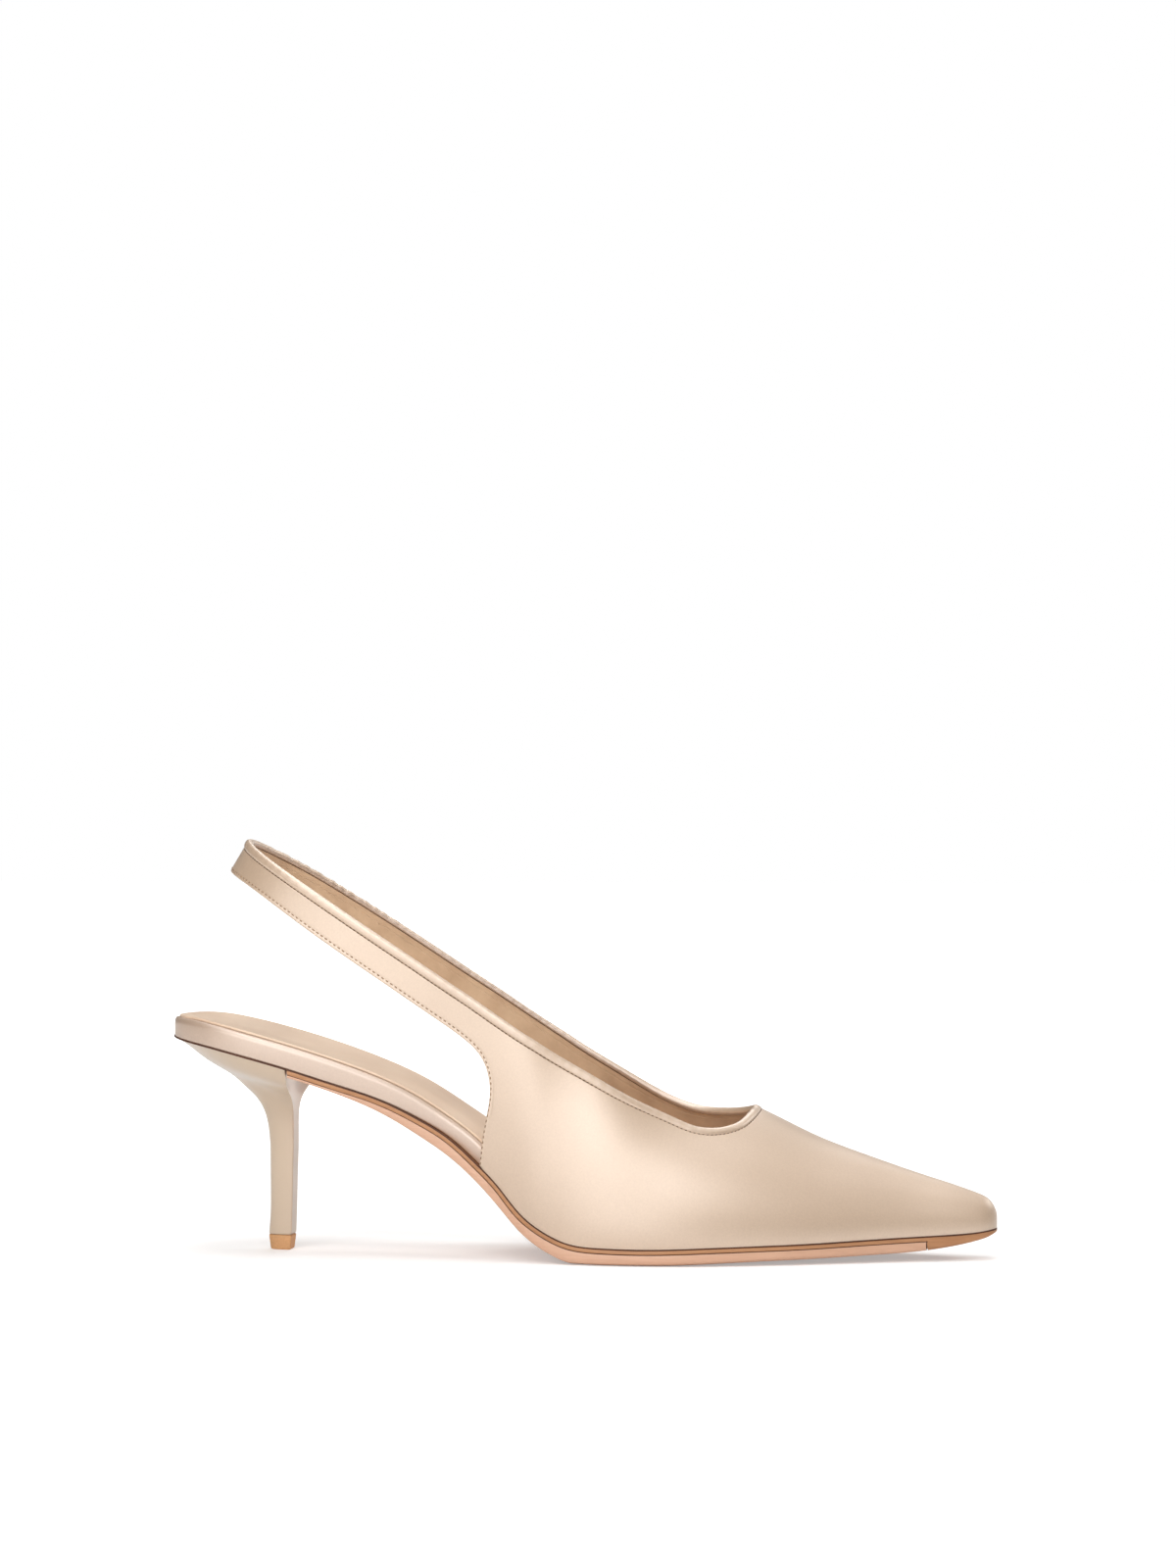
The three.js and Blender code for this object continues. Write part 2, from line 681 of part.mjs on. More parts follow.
function makeBoard() {
  const rings = BOARD_STATIONS.map((x) => {
    const columns = [];
    const depth = boardTop(x, 1) - featherHeight(x);
    const room = ROUNDING_ROOM * Math.min(depth, boardHalf(x, -1), boardHalf(x, 1));
    const round = Math.min(BAND_ROUNDING, room);
    const edge = (side) => ROUND_TURNS.map((turn) => ({
      y: side * (boardHalf(x, side) - round * (1 - Math.cos(turn))),
      z: boardTop(x, 1) - round * (1 - Math.sin(turn)),
    }));
    const middle = BOARD_ACROSS.map((share) => ({
      y: share * Math.max(0, boardHalf(x, share) - round),
      z: boardTop(x, share),
    }));
    for (const { y, z } of [...edge(-1), ...middle, ...edge(1).reverse()]) {
      columns.push({
        top: new THREE.Vector3(x, y, z),
        bottom: new THREE.Vector3(x, y, featherHeight(x)),
      });
    }
    return acrossRing(columns);
  });
  return loft(rings, acrossPair);
}

function makeSock() {
  const rings = BOARD_STATIONS.filter((x) => x < SOCK_FRONT).map((x) => {
    return acrossRing([-1, ...BOARD_ACROSS, 1].map((share) => {
      const place = x < 0 ? x * SOCK_LENGTH_SHARE : x;
      const y = share * boardHalf(x, share) * SOCK_WIDTH_SHARE;
      const low = boardTop(place, share) + GAP;
      return {
        top: new THREE.Vector3(place, y, low + SOCK_THICKNESS),
        bottom: new THREE.Vector3(place, y, low),
      };
    }));
  });
  return loft(rings, acrossPair);
}

// The heel. A ring runs from the middle of the breast to its outer corner, round
// the back and home along the inner side.
const BREAST_STEPS = 5;
const BACK_STEPS = 13;

function halfRing(breastPoint, backPoint) {
  const points = [];
  for (let k = 0; k <= BREAST_STEPS; k += 1) {
    points.push(breastPoint(k / BREAST_STEPS));
  }
  for (let k = 1; k <= BACK_STEPS; k += 1) {
    points.push(backPoint(k / BACK_STEPS));
  }
  return points;
}

function seatPoints(side) {
  const at = (x, y) => new THREE.Vector3(x, y, midsoleTop(x));
  const corner = side * footHalf(HEEL_BREAST, side);
  const fromAngle = angleOf(HEEL_BREAST);
  return halfRing(
    (share) => at(HEEL_BREAST - BREAST_HOLLOW * (1 - share * share), corner * share),
    (share) => {
      const x = HALF_LENGTH * Math.cos(THREE.MathUtils.lerp(fromAngle, Math.PI, share));
      return at(x, side * footHalf(x, side));
    },
  );
}

// The stem's section is half an ellipse behind a flat front.
function stemPoints(side, [height, front, back, half]) {
  return halfRing(
    (share) => new THREE.Vector3(front, side * half * share, height),
    (share) => {
      const turn = (share * Math.PI) / 2;
      const x = THREE.MathUtils.lerp(front, back, Math.sin(turn));
      return new THREE.Vector3(x, side * half * Math.cos(turn), height);
    },
  );
}

function closeRing(outerPoints, innerPoints) {
  return [...outerPoints, ...innerPoints.slice(1, -1).reverse()];
}

function flareRing([height, back, sides]) {
  const [outer, inner] = [-1, 1].map((side) => {
    const stem = stemPoints(side, STEM[0]);
    return seatPoints(side).map((seat, k) => {
      const turn = THREE.MathUtils.clamp((k - BREAST_STEPS) / BACK_STEPS, 0, 1);
      const share = THREE.MathUtils.lerp(sides, back, smoothstep(0, 1, turn));
      const point = stem[k].clone().lerp(seat, share);
      return point.setZ(THREE.MathUtils.lerp(STEM_TOP, seat.z, height));
    });
  });
  return closeRing(outer, inner);
}

function stemRing(row) {
  return closeRing(stemPoints(-1, row), stemPoints(1, row));
}

function makeHeel() {
  return loft([...FLARE.map(flareRing), ...STEM.slice(1).map(stemRing)], null, midsoleTop);
}

function makeLift() {
  return loft(LIFT.map(stemRing));
}

// Materials
const SATIN = { color: 0xe3cdb2, roughness: 0.38, metalness: 0 };
const LINING = { color: 0xd6bd98, roughness: 0.8, metalness: 0 };
const LACQUER = { color: 0xcdb9a3, roughness: 0.22, metalness: 0 };
const TAN_LEATHER = { color: 0xd8a274, roughness: 0.55, metalness: 0 };
const SOLE_LEATHER = { color: 0xe2b090, roughness: 0.5, metalness: 0 };
const RUBBER = { color: 0xcd9468, roughness: 0.7, metalness: 0 };

function piece(name, body, look) {
  const mesh = new THREE.Mesh(body.geometry(), new THREE.MeshStandardMaterial(look));
  mesh.name = name;
  return mesh;
}

const shoe = new THREE.Group();
shoe.add(piece("upper", makeUpper(), SATIN));
shoe.add(piece("topline_binding", makeBinding(), SATIN));
shoe.add(piece("insole_board", makeBoard(), SATIN));
shoe.add(piece("sock_lining", makeSock(), LINING));
shoe.add(piece("midsole", makeMidsole(), TAN_LEATHER));
shoe.add(piece("outsole", makeOutsole(), SOLE_LEATHER));
shoe.add(piece("heel", makeHeel(), LACQUER));
shoe.add(piece("top_lift", makeLift(), RUBBER));

export default shoe;
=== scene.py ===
"""Looks of a slingback pump for the right foot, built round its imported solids.

Shapes are worked out in millimetres from the part's own sizes and go into Blender in
metres. +X points to the toe, +Y to the inner side of the foot and +Z up.
"""

import math

import bpy
import numpy as np
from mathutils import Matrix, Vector


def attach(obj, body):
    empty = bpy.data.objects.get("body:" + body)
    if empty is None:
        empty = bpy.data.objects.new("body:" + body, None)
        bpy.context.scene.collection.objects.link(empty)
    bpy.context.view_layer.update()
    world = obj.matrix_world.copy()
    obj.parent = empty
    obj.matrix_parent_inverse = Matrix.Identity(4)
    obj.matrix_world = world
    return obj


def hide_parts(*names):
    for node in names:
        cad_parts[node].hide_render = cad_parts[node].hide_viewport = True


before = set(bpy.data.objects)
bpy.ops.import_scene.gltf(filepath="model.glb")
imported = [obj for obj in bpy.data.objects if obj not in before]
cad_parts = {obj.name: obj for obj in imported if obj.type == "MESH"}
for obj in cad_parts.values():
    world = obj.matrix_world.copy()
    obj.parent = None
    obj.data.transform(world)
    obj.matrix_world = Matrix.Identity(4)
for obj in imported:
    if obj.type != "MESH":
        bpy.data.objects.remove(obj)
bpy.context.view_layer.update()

MM = 0.001

# The camera
CAMERA_PLACE = (180.484, -1284.213, 135.684)
CAMERA_AIM = (1.8958, 0.0, 141.6348)
CAMERA_LENS, SENSOR_WIDTH = 98.537, 36.0
NEAR_CLIP, FAR_CLIP = 0.05, 50.0


def place_camera():
    data = bpy.data.cameras.new("camera")
    data.sensor_width = SENSOR_WIDTH
    data.lens = CAMERA_LENS
    data.clip_start = NEAR_CLIP
    data.clip_end = FAR_CLIP
    camera = bpy.data.objects.new("camera", data)
    bpy.context.scene.collection.objects.link(camera)
    place, aim = Vector(CAMERA_PLACE) * MM, Vector(CAMERA_AIM) * MM
    camera.location = place
    camera.rotation_euler = (aim - place).to_track_quat("-Z", "Y").to_euler()
    bpy.context.scene.camera = camera


place_camera()

# Sizes, in millimetres
HALF_LENGTH = 125.0
WALL = 1.6
GAP = 0.3
TUCK, TUCK_HEIGHT, TUCK_HALF_WIDTH = 1.0, 3.0, 3.0
THROAT_FRONT = 54.4
WAIST_FRONT = 10.0
QUARTER_BACK = -27.0
TIP_REACH = 10.0
HEEL_BREAST = -86.0
BREAST_HOLLOW = 3.0
BREAST_FADE = 10.0
TOE_CAP_BACK = 105.0
FLAT_FRONT, FLAT_BACK = 28.0, 2.0
STRIP_THICKNESS = 1.2
BINDING_HEIGHT, BINDING_WIDTH = 2.7, 2.5
BAND_ROUNDING = 2.0
ROUNDING_ROOM = 0.7
BOARD_FRONT = 121.0
BOARD_CLEARANCE = 0.5
BAND_INSET = 0.1
BAND_FRONT = -62.0
SOCK_FRONT = 118.0
SOCK_THICKNESS = 0.6
SOCK_LENGTH_SHARE, SOCK_WIDTH_SHARE = 0.988, 0.93
DISH_DEPTH = 1.2
STEM_TOP = 31.0
LIFT_HEIGHT = 4.3
RIDGE_OFFSET, RIDGE_OFFSET_REACH = 3.2, 70.0
FLATTEST, STEEPEST = 0.9, 0.6

# For the outer side, -1, and the inner side, 1: how square a section is.
SHAPE = {-1: (1.7, 1.9), 1: (1.9, 2.0)}

# x, outer half width, inner half width, feather height, lowest line, edge rise, flat share
BOTTOM = np.array([
    [125, 0, 0, 9.5, 8.6, 0, 0.9],
    [124.2, 2.8, 2.8, 9.2, 7.9, 0.2, 0.9],
    [122.5, 4.7, 4.7, 8.9, 7.0, 0.3, 0.9],
    [119, 6.5, 6.6, 8.4, 5.9, 0.4, 0.9],
    [112, 9.0, 9.2, 7.9, 4.4, 0.5, 0.9],
    [100, 13.1, 13.6, 7.4, 2.9, 0.6, 0.9],
    [85, 19.2, 20.0, 6.8, 2.1, 0.7, 0.9],
    [70, 25.6, 26.8, 6.2, 1.5, 0.8, 0.9],
    [54, 31.2, 33.0, 5.8, 1.0, 0.8, 0.9],
    [40, 34.9, 36.6, 5.4, 0.4, 0.8, 0.9],
    [25, 36.8, 36.8, 5.0, 0, 0.8, 0.9],
    [10, 36.4, 33.6, 5.2, 0, 0.8, 0.9],
    [0, 34.7, 30.2, 6.4, 0.2, 0.9, 0.8],
    [-5, 33.3, 28.4, 8.35, 2.0, 1.0, 0.7],
    [-10, 31.9, 26.6, 11.2, 4.6, 1.2, 0.55],
    [-15, 30.3, 24.9, 15.3, 8.3, 1.5, 0.4],
    [-21, 28.6, 23.0, 22.3, 14.4, 1.9, 0.2],
    [-27, 27.2, 21.4, 28.2, 20.4, 2.2, 0.1],
    [-36, 25.4, 19.7, 35.9, 27.8, 2.6, 0],
    [-45, 24.4, 19.2, 41.3, 33.7, 2.7, 0],
    [-56, 24.1, 20.1, 46.6, 40.4, 2.4, 0],
    [-70, 24.9, 22.6, 51.4, 47.2, 1.6, 0],
    [-86, 25.7, 24.9, 56.4, 53.4, 0.5, 0],
    [-100, 25.2, 25.0, 60.2, 57, 0.5, 0],
    [-110, 22.8, 22.8, 62.6, 60, 0.5, 0],
    [-118, 17.5, 17.5, 64.1, 62, 0.5, 0],
    [-122, 12.4, 12.4, 64.8, 63, 0.5, 0],
    [-124.2, 6.8, 6.8, 65.2, 63.5, 0.5, 0],
    [-125, 0, 0, 65.3, 63.6, 0.5, 0],
])

# x, height of the footbed's rim
FOOTBED = np.array([
    [125, 12], [112, 10.6], [85, 9.4], [54, 8.3], [25, 7.7], [10, 8.5], [0, 11.4],
    [-10, 18.2], [-18, 26.2], [-27, 35.7], [-36, 42.5], [-48, 50.0], [-62, 56.3],
    [-78, 61.8], [-92, 65.9], [-104, 69.0], [-114, 71.1], [-121, 71.6], [-125, 71.2],
])

# x, height of the ridge, outer lean, inner lean
LAST = np.array([
    [125, 12.4, 0, 0], [124.2, 15.6, 0, 0], [122.5, 17.9, 0, 0], [119, 19.7, 0, 0],
    [112, 22.1, 0, 0], [100, 25.8, 0, 0], [85, 30.8, 0, 0], [70, 36.4, 0, 0],
    [54.4, 43.8, 0, 0], [43, 48.8, 0, 0], [34, 53.6, 0, 0], [23, 63, 0, 0],
    [10, 82, 0, 0.01], [0, 100, 0, 0.04], [-14, 135, 0.04, 0.105],
    [-27, 175, 0.05, 0.165],
])

# x, height of the top edge on the outer side, on the inner side
TOPLINE = np.array([
    [54.4, 43.8, 43.8], [53.6, 42.1, 43.3], [51.2, 39.7, 42.4], [48.5, 38.5, 41.7],
    [45.5, 37.8, 41.2], [42, 37.6, 40.9], [36, 38.5, 40.8], [29, 41.4, 42.0],
    [17, 47.0, 46.9], [6, 53.0, 52.9], [-5.5, 59.5, 59.5], [-14, 64.7, 64.7],
])

# Ribs of the quarter's back and the strap: lower x and z, top x and z, half width
RIBS = np.array([
    [-27.0, 28.2, -6.0, 59.8, 29.3], [-25.2, 40.0, -11.0, 62.9, 29.2],
    [-23.5, 50.0, -15.5, 65.6, 29.1], [-24.6, 57.2, -19.6, 68.2, 29.0],
    [-27.3, 62.0, -24.0, 71.1, 28.9], [-32.3, 66.5, -29.5, 74.8, 28.7],
    [-41.0, 72.5, -37.0, 79.7, 28.4], [-53.0, 80.5, -48.4, 87.2, 28.0],
    [-71.0, 92.4, -66.4, 98.9, 26.9], [-84.0, 101.1, -79.6, 107.4, 24.3],
    [-95.0, 108.4, -90.8, 114.4, 19.9], [-102.5, 112.7, -98.4, 119.0, 13.6],
    [-106.7, 114.8, -102.5, 121.6, 6.9], [-108.0, 115.4, -103.8, 122.5, 0],
])
STRAP_FRONT, STRAP_BACK = -12.0, -46.0

# Share of the height from stem to seat, share of the flare at the back and the sides
FLARE = np.array([
    [0, 0, 0], [0.15, 0.015, 0], [0.28, 0.045, 0], [0.38, 0.095, 0.01],
    [0.47, 0.175, 0.04], [0.55, 0.275, 0.12], [0.63, 0.375, 0.28], [0.71, 0.5, 0.54],
    [0.79, 0.64, 0.76], [0.87, 0.77, 0.88], [0.94, 0.88, 0.95], [1.0, 1.0, 1.0],
])

# Height, front, back and half width of the stem and of the top lift
STEM = np.array([
    [LIFT_HEIGHT + GAP, -88.6, -96.3, 3.9], [10, -88.4, -95.9, 3.9],
    [20, -88.2, -95.8, 4.0], [STEM_TOP, -87.9, -95.9, 4.2],
])
LIFT = np.array([[0, -89.1, -95.7, 3.4], [LIFT_HEIGHT, -88.6, -96.3, 3.9]])


# Curves
def angle_of(x):
    return np.arccos(np.clip(np.asarray(x, float) / HALF_LENGTH, -1, 1))


def natural_spline(knots, values):
    """A natural cubic spline; values may have several columns."""
    k = np.asarray(knots, float)
    v = np.asarray(values, float)
    n, h = len(k), np.diff(k)
    matrix, right = np.eye(n), np.zeros_like(v)
    for i in range(1, n - 1):
        matrix[i, i - 1:i + 2] = h[i - 1], 2 * (h[i - 1] + h[i]), h[i]
        right[i] = 6 * ((v[i + 1] - v[i]) / h[i] - (v[i] - v[i - 1]) / h[i - 1])
    second = np.linalg.solve(matrix, right)

    def at(x):
        x = np.asarray(x, float)
        i = np.clip(np.searchsorted(k, x, side="right") - 1, 0, n - 2)
        step = h[i]
        b = (x - k[i]) / step
        a = 1 - b
        if v.ndim > 1:
            a, b, step = a[..., None], b[..., None], step[..., None]
        curl = ((a ** 3 - a) * second[i] + (b ** 3 - b) * second[i + 1]) * step * step
        return a * v[i] + b * v[i + 1] + curl / 6

    return at


def column_curve(rows, column, variable=angle_of):
    spline = natural_spline(variable(rows[:, 0]), rows[:, column])
    return lambda x: spline(variable(x))


def smoothstep(start, end, x):
    share = np.clip((np.asarray(x, float) - start) / (end - start), 0, 1)
    return share * share * (3 - 2 * share)


def lerp(a, b, share):
    return a + (b - a) * share


def arc_length(path):
    """How far along a path each of its points lies."""
    return np.concatenate([[0], np.cumsum(np.linalg.norm(np.diff(path, axis=0), axis=1))])


def along_path(places, arc, path):
    """The path's columns, read at these places along it."""
    return np.stack([np.interp(places, arc, column) for column in path.T], 1)


def unit(vectors):
    return vectors / np.linalg.norm(vectors, axis=1, keepdims=True)


HALF = {-1: column_curve(BOTTOM, 1), 1: column_curve(BOTTOM, 2)}
feather = column_curve(BOTTOM, 3)
lowest_spline = column_curve(BOTTOM, 4)
edge_rise = column_curve(BOTTOM, 5)
flat_share = column_curve(BOTTOM, 6)
rim_height = column_curve(FOOTBED, 1)
ridge_height = column_curve(LAST, 1)
LEAN = {-1: column_curve(LAST, 2), 1: column_curve(LAST, 3)}


def foot_half(x, side):
    """Half width at the feather line; side may be an array of signs or shares."""
    return np.maximum(0, np.where(np.asarray(side) < 0, HALF[-1](x), HALF[1](x)))


def lowest(x):
    flat = (np.asarray(x) > FLAT_BACK) & (np.asarray(x) < FLAT_FRONT)
    return np.where(flat, 0, np.maximum(0, lowest_spline(x)))


def slope_factor(curve, x):
    slope = curve(x + 0.5) - curve(x - 0.5)
    return np.hypot(1, slope)


def below_feather(x, depth):
    inside = np.clip(x, 1 - HALF_LENGTH, HALF_LENGTH - 1)
    return feather(x) - depth * slope_factor(feather, inside)


def stations(breaks):
    """Places along the shoe, in even steps of the angle between the given ones."""
    parts = [np.array([breaks[0][0]])]
    for start, end, steps in breaks:
        angles = np.linspace(angle_of(start), angle_of(end), steps + 1)[1:]
        row = HALF_LENGTH * np.cos(angles)
        row[-1] = end
        parts.append(row)
    return np.concatenate(parts)


# Meshes
def weld(points, faces, digits=4):
    """Joins equal corners and drops the faces' repeated ones. Gives the kept index too."""
    keys = np.round(points, digits) + 0.0
    _, first, inverse = np.unique(keys, axis=0, return_index=True, return_inverse=True)
    inverse = inverse.reshape(-1)
    cleaned = []
    for face in faces:
        ring = []
        for corner in face:
            index = int(inverse[corner])
            if index not in ring:
                ring.append(index)
        if len(ring) > 2:
            cleaned.append(tuple(ring))
    return points[first], cleaned, first


def grid_faces(rows, columns, start=0, flip=False, wrap_rows=False, wrap_columns=False):
    faces = []
    for i in range(rows if wrap_rows else rows - 1):
        for j in range(columns if wrap_columns else columns - 1):
            a = start + i * columns + j
            b = start + i * columns + (j + 1) % columns
            c = start + ((i + 1) % rows) * columns + (j + 1) % columns
            d = start + ((i + 1) % rows) * columns + j
            faces.append((a, d, c, b) if flip else (a, b, c, d))
    return faces


def vertex_normals(points, faces):
    normals = np.zeros_like(points)
    for size in (3, 4):
        group = np.array([f for f in faces if len(f) == size], int)
        if not len(group):
            continue
        if size == 3:
            cross = np.cross(points[group[:, 1]] - points[group[:, 0]],
                             points[group[:, 2]] - points[group[:, 0]])
        else:
            cross = np.cross(points[group[:, 2]] - points[group[:, 0]],
                             points[group[:, 3]] - points[group[:, 1]])
        for k in range(size):
            np.add.at(normals, group[:, k], cross)
    length = np.linalg.norm(normals, axis=1, keepdims=True)
    return normals / np.maximum(length, 1e-9)


def signed_volume(points, faces):
    total = 0.0
    for size in sorted({len(face) for face in faces}):
        group = np.array([face for face in faces if len(face) == size], int)
        a = points[group[:, 0]]
        for k in range(1, size - 1):
            cross = np.cross(points[group[:, k]], points[group[:, k + 1]])
            total += float((a * cross).sum())
    return total / 6


def add_piece(name, points, faces, material, stands_for, sharp=None, uv=None, period=None):
    """A closed mesh in millimetres becomes a piece of the shoe."""
    if signed_volume(points, faces) < 0:
        faces = [tuple(reversed(face)) for face in faces]
    mesh = bpy.data.meshes.new(name)
    mesh.from_pydata([tuple(p) for p in points * MM], [], faces)
    mesh.validate()
    mesh.polygons.foreach_set("use_smooth", np.ones(len(mesh.polygons), bool))
    if sharp:
        mesh.set_sharp_from_angle(angle=math.radians(sharp))
    if uv is not None:
        layer = mesh.uv_layers.new(name="UVMap")
        index = np.zeros(len(mesh.loops), int)
        mesh.loops.foreach_get("vertex_index", index)
        corners = uv[index]
        if period:
            first = np.array([polygon.loop_start for polygon in mesh.polygons])
            spread = (np.maximum.reduceat(corners[:, 0], first)
                      - np.minimum.reduceat(corners[:, 0], first))
            counts = np.diff(np.append(first, len(corners)))
            across = np.repeat(spread > period / 2, counts) & (corners[:, 0] < period / 2)
            corners[across, 0] += period
        layer.data.foreach_set("uv", corners.astype(np.float32).ravel())
    mesh.materials.append(material)
    piece = bpy.data.objects.new(name, mesh)
    bpy.context.scene.collection.objects.link(piece)
    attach(piece, "root")
    if stands_for:
        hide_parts(stands_for)
    return piece


LARGEST_STEP = 8


def nearest(points, path):
    """Distance of each point from a path; far jumps between its parts are kept out."""
    starts, steps = path[:-1], np.diff(path, axis=0)
    joined = np.linalg.norm(steps, axis=1) < LARGEST_STEP
    starts, steps = starts[joined], steps[joined]
    squares = np.maximum((steps ** 2).sum(1), 1e-12)
    result = np.empty(len(points))
    for k in range(0, len(points), 2000):
        apart = points[k:k + 2000, None, :] - starts[None]
        share = np.clip((apart * steps[None]).sum(2) / squares, 0, 1)
        rest = apart - share[..., None] * steps[None]
        result[k:k + 2000] = np.sqrt((rest ** 2).sum(2).min(1))
    return result


# Materials
class Look:
    """A procedural material in the making."""

    def __init__(self, name, **uniform):
        self.material = bpy.data.materials.new(name)
        self.material.use_nodes = True
        self.tree = self.material.node_tree
        self.shader = self.tree.nodes["Principled BSDF"]
        for socket, value in uniform.items():
            self.shader.inputs[socket.replace("_", " ")].default_value = value

    def node(self, kind, **values):
        made = self.tree.nodes.new(kind)
        for key, value in values.items():
            if key.startswith("in_"):
                made.inputs[key[3:].replace("_", " ")].default_value = value
            else:
                setattr(made, key, value)
        return made

    def link(self, output, socket):
        self.tree.links.new(output, socket)

    def place(self):
        return self.node("ShaderNodeTexCoord").outputs["Object"]

    def noise(self, scale, detail=3.0, roughness=0.5, source=None, stretch=None):
        made = self.node("ShaderNodeTexNoise", in_Scale=scale, in_Detail=detail,
                         in_Roughness=roughness)
        vector = source or self.place()
        if stretch:
            mapping = self.node("ShaderNodeMapping", in_Scale=stretch)
            self.link(vector, mapping.inputs["Vector"])
            vector = mapping.outputs["Vector"]
        self.link(vector, made.inputs["Vector"])
        return made.outputs["Fac"]

    def ramp(self, source, stops):
        """A colour that goes from the first stop to the second, both linear."""
        made = self.node("ShaderNodeValToRGB")
        for element, (place, colour) in zip(made.color_ramp.elements, stops):
            element.position = place
            element.color = (*colour, 1)
        self.link(source, made.inputs["Fac"])
        return made.outputs["Color"]

    def tint(self, source, low, dark, high, light):
        """The base colour, from eight-bit screen values."""
        shade = self.ramp(source, [(low, srgb(*dark)), (high, srgb(*light))])
        self.link(shade, self.shader.inputs["Base Color"])

    def spread(self, source, low, high):
        made = self.node("ShaderNodeMapRange", in_To_Min=low, in_To_Max=high)
        self.link(source, made.inputs["Value"])
        return made.outputs["Result"]

    def sums(self, *parts):
        """A weighted sum of sources: pairs of output and weight."""
        total = None
        for source, weight in parts:
            made = self.node("ShaderNodeMath", operation="MULTIPLY_ADD")
            made.inputs[1].default_value = weight
            made.inputs[2].default_value = 0.0
            self.link(source, made.inputs[0])
            if total is not None:
                self.link(total, made.inputs[2])
            total = made.outputs[0]
        return total

    def bump(self, source, distance, strength=1.0):
        made = self.node("ShaderNodeBump", in_Distance=distance, in_Strength=strength)
        self.link(source, made.inputs["Height"])
        self.link(made.outputs["Normal"], self.shader.inputs["Normal"])

    def roughness(self, source, low, high):
        self.link(self.spread(source, low, high), self.shader.inputs["Roughness"])


def srgb(red, green, blue):
    """Linear colour from eight-bit screen values."""
    def linear(value):
        value /= 255
        return value / 12.92 if value <= 0.04045 else ((value + 0.055) / 1.055) ** 2.4
    return tuple(linear(value) for value in (red, green, blue))


def satin_look(name, light, dark):
    """Satin: a fine diagonal weave along the cloth, with slow changes of tone."""
    look = Look(name, Metallic=0.2, Sheen_Weight=0.1, Sheen_Roughness=0.4,
                IOR=1.5, Coat_Weight=1.0, Coat_Roughness=0.44, Coat_IOR=2.5)
    slow = look.noise(30.0, 2.0)
    grain = look.noise(1700.0, 2.0, 0.6)
    look.tint(look.sums((slow, 0.4), (grain, 0.6)), 0.3, dark, 0.7, light)
    uv = look.node("ShaderNodeUVMap", uv_map="UVMap").outputs["UV"]
    weave = look.node("ShaderNodeTexWave", wave_type="BANDS", bands_direction="DIAGONAL",
                      in_Scale=1.1, in_Distortion=1.5, in_Detail=2.0, in_Detail_Scale=3.0)
    look.link(uv, weave.inputs["Vector"])
    threads = look.noise(9.0, 2.0, source=uv, stretch=(1.0, 6.0, 1.0))
    fine = look.noise(4500.0, 2.0)
    look.roughness(threads, 0.43, 0.5)
    look.bump(look.sums((weave.outputs["Fac"], 0.4), (threads, 0.5), (fine, 0.35)),
              0.00004, 0.5)
    return look.material


def lining_look():
    look = Look("lining", Sheen_Weight=0.5, Sheen_Roughness=0.5)
    slow = look.noise(120.0, 4.0, 0.6)
    look.tint(slow, 0.25, (194, 160, 128), 0.75, (218, 186, 152))
    fuzz = look.noise(2600.0, 3.0, 0.7)
    look.roughness(fuzz, 0.8, 0.95)
    look.bump(look.sums((fuzz, 0.7), (slow, 0.6)), 0.00015, 0.7)
    return look.material


def sock_look():
    look = Look("sock_leather", Sheen_Weight=0.1)
    slow = look.noise(60.0, 3.0)
    look.tint(slow, 0.3, (227, 198, 171), 0.7, (235, 209, 183))
    cells = look.node("ShaderNodeTexVoronoi", feature="DISTANCE_TO_EDGE", in_Scale=1500.0)
    look.link(look.place(), cells.inputs["Vector"])
    fine = look.noise(2500.0, 3.0)
    look.roughness(slow, 0.42, 0.55)
    look.bump(look.sums((cells.outputs["Distance"], 0.8), (fine, 0.4)), 0.00008, 0.5)
    return look.material


def edge_leather_look(name, light, dark, rough=(0.4, 0.6)):
    """Cut and burnished leather, with fine streaks along the edge."""
    look = Look(name)
    streaks = look.noise(900.0, 4.0, 0.65, stretch=(0.12, 0.12, 1.6))
    slow = look.noise(45.0, 2.0)
    look.tint(look.sums((streaks, 0.6), (slow, 0.4)), 0.3, dark, 0.7, light)
    look.roughness(streaks, *rough)
    fine = look.noise(2200.0, 3.0)
    look.bump(look.sums((streaks, 0.7), (fine, 0.3)), 0.0001, 0.5)
    return look.material


def grain_look(name, scale, detail, dark, light, stops, rough, relief, **uniform):
    """One fine noise gives the tone, the roughness and the relief."""
    look = Look(name, **uniform)
    grain = look.noise(scale, *detail)
    look.tint(grain, stops[0], dark, stops[1], light)
    look.roughness(grain, *rough)
    look.bump(grain, *relief)
    return look.material


def thread_look(name, light, dark):
    return grain_look(name, 3800.0, (2.0,), dark, light, (0.35, 0.65), (0.5, 0.7),
                      (0.00005, 0.6), Sheen_Weight=0.3)


def lacquer_look():
    look = Look("heel_lacquer", Coat_Weight=0.6, Coat_Roughness=0.25)
    look.tint(look.noise(25.0, 2.0), 0.3, (210, 188, 164), 0.7, (216, 194, 170))
    fine = look.noise(1400.0, 2.0)
    look.roughness(fine, 0.275, 0.29)
    look.bump(fine, 0.0000006, 0.1)
    return look.material


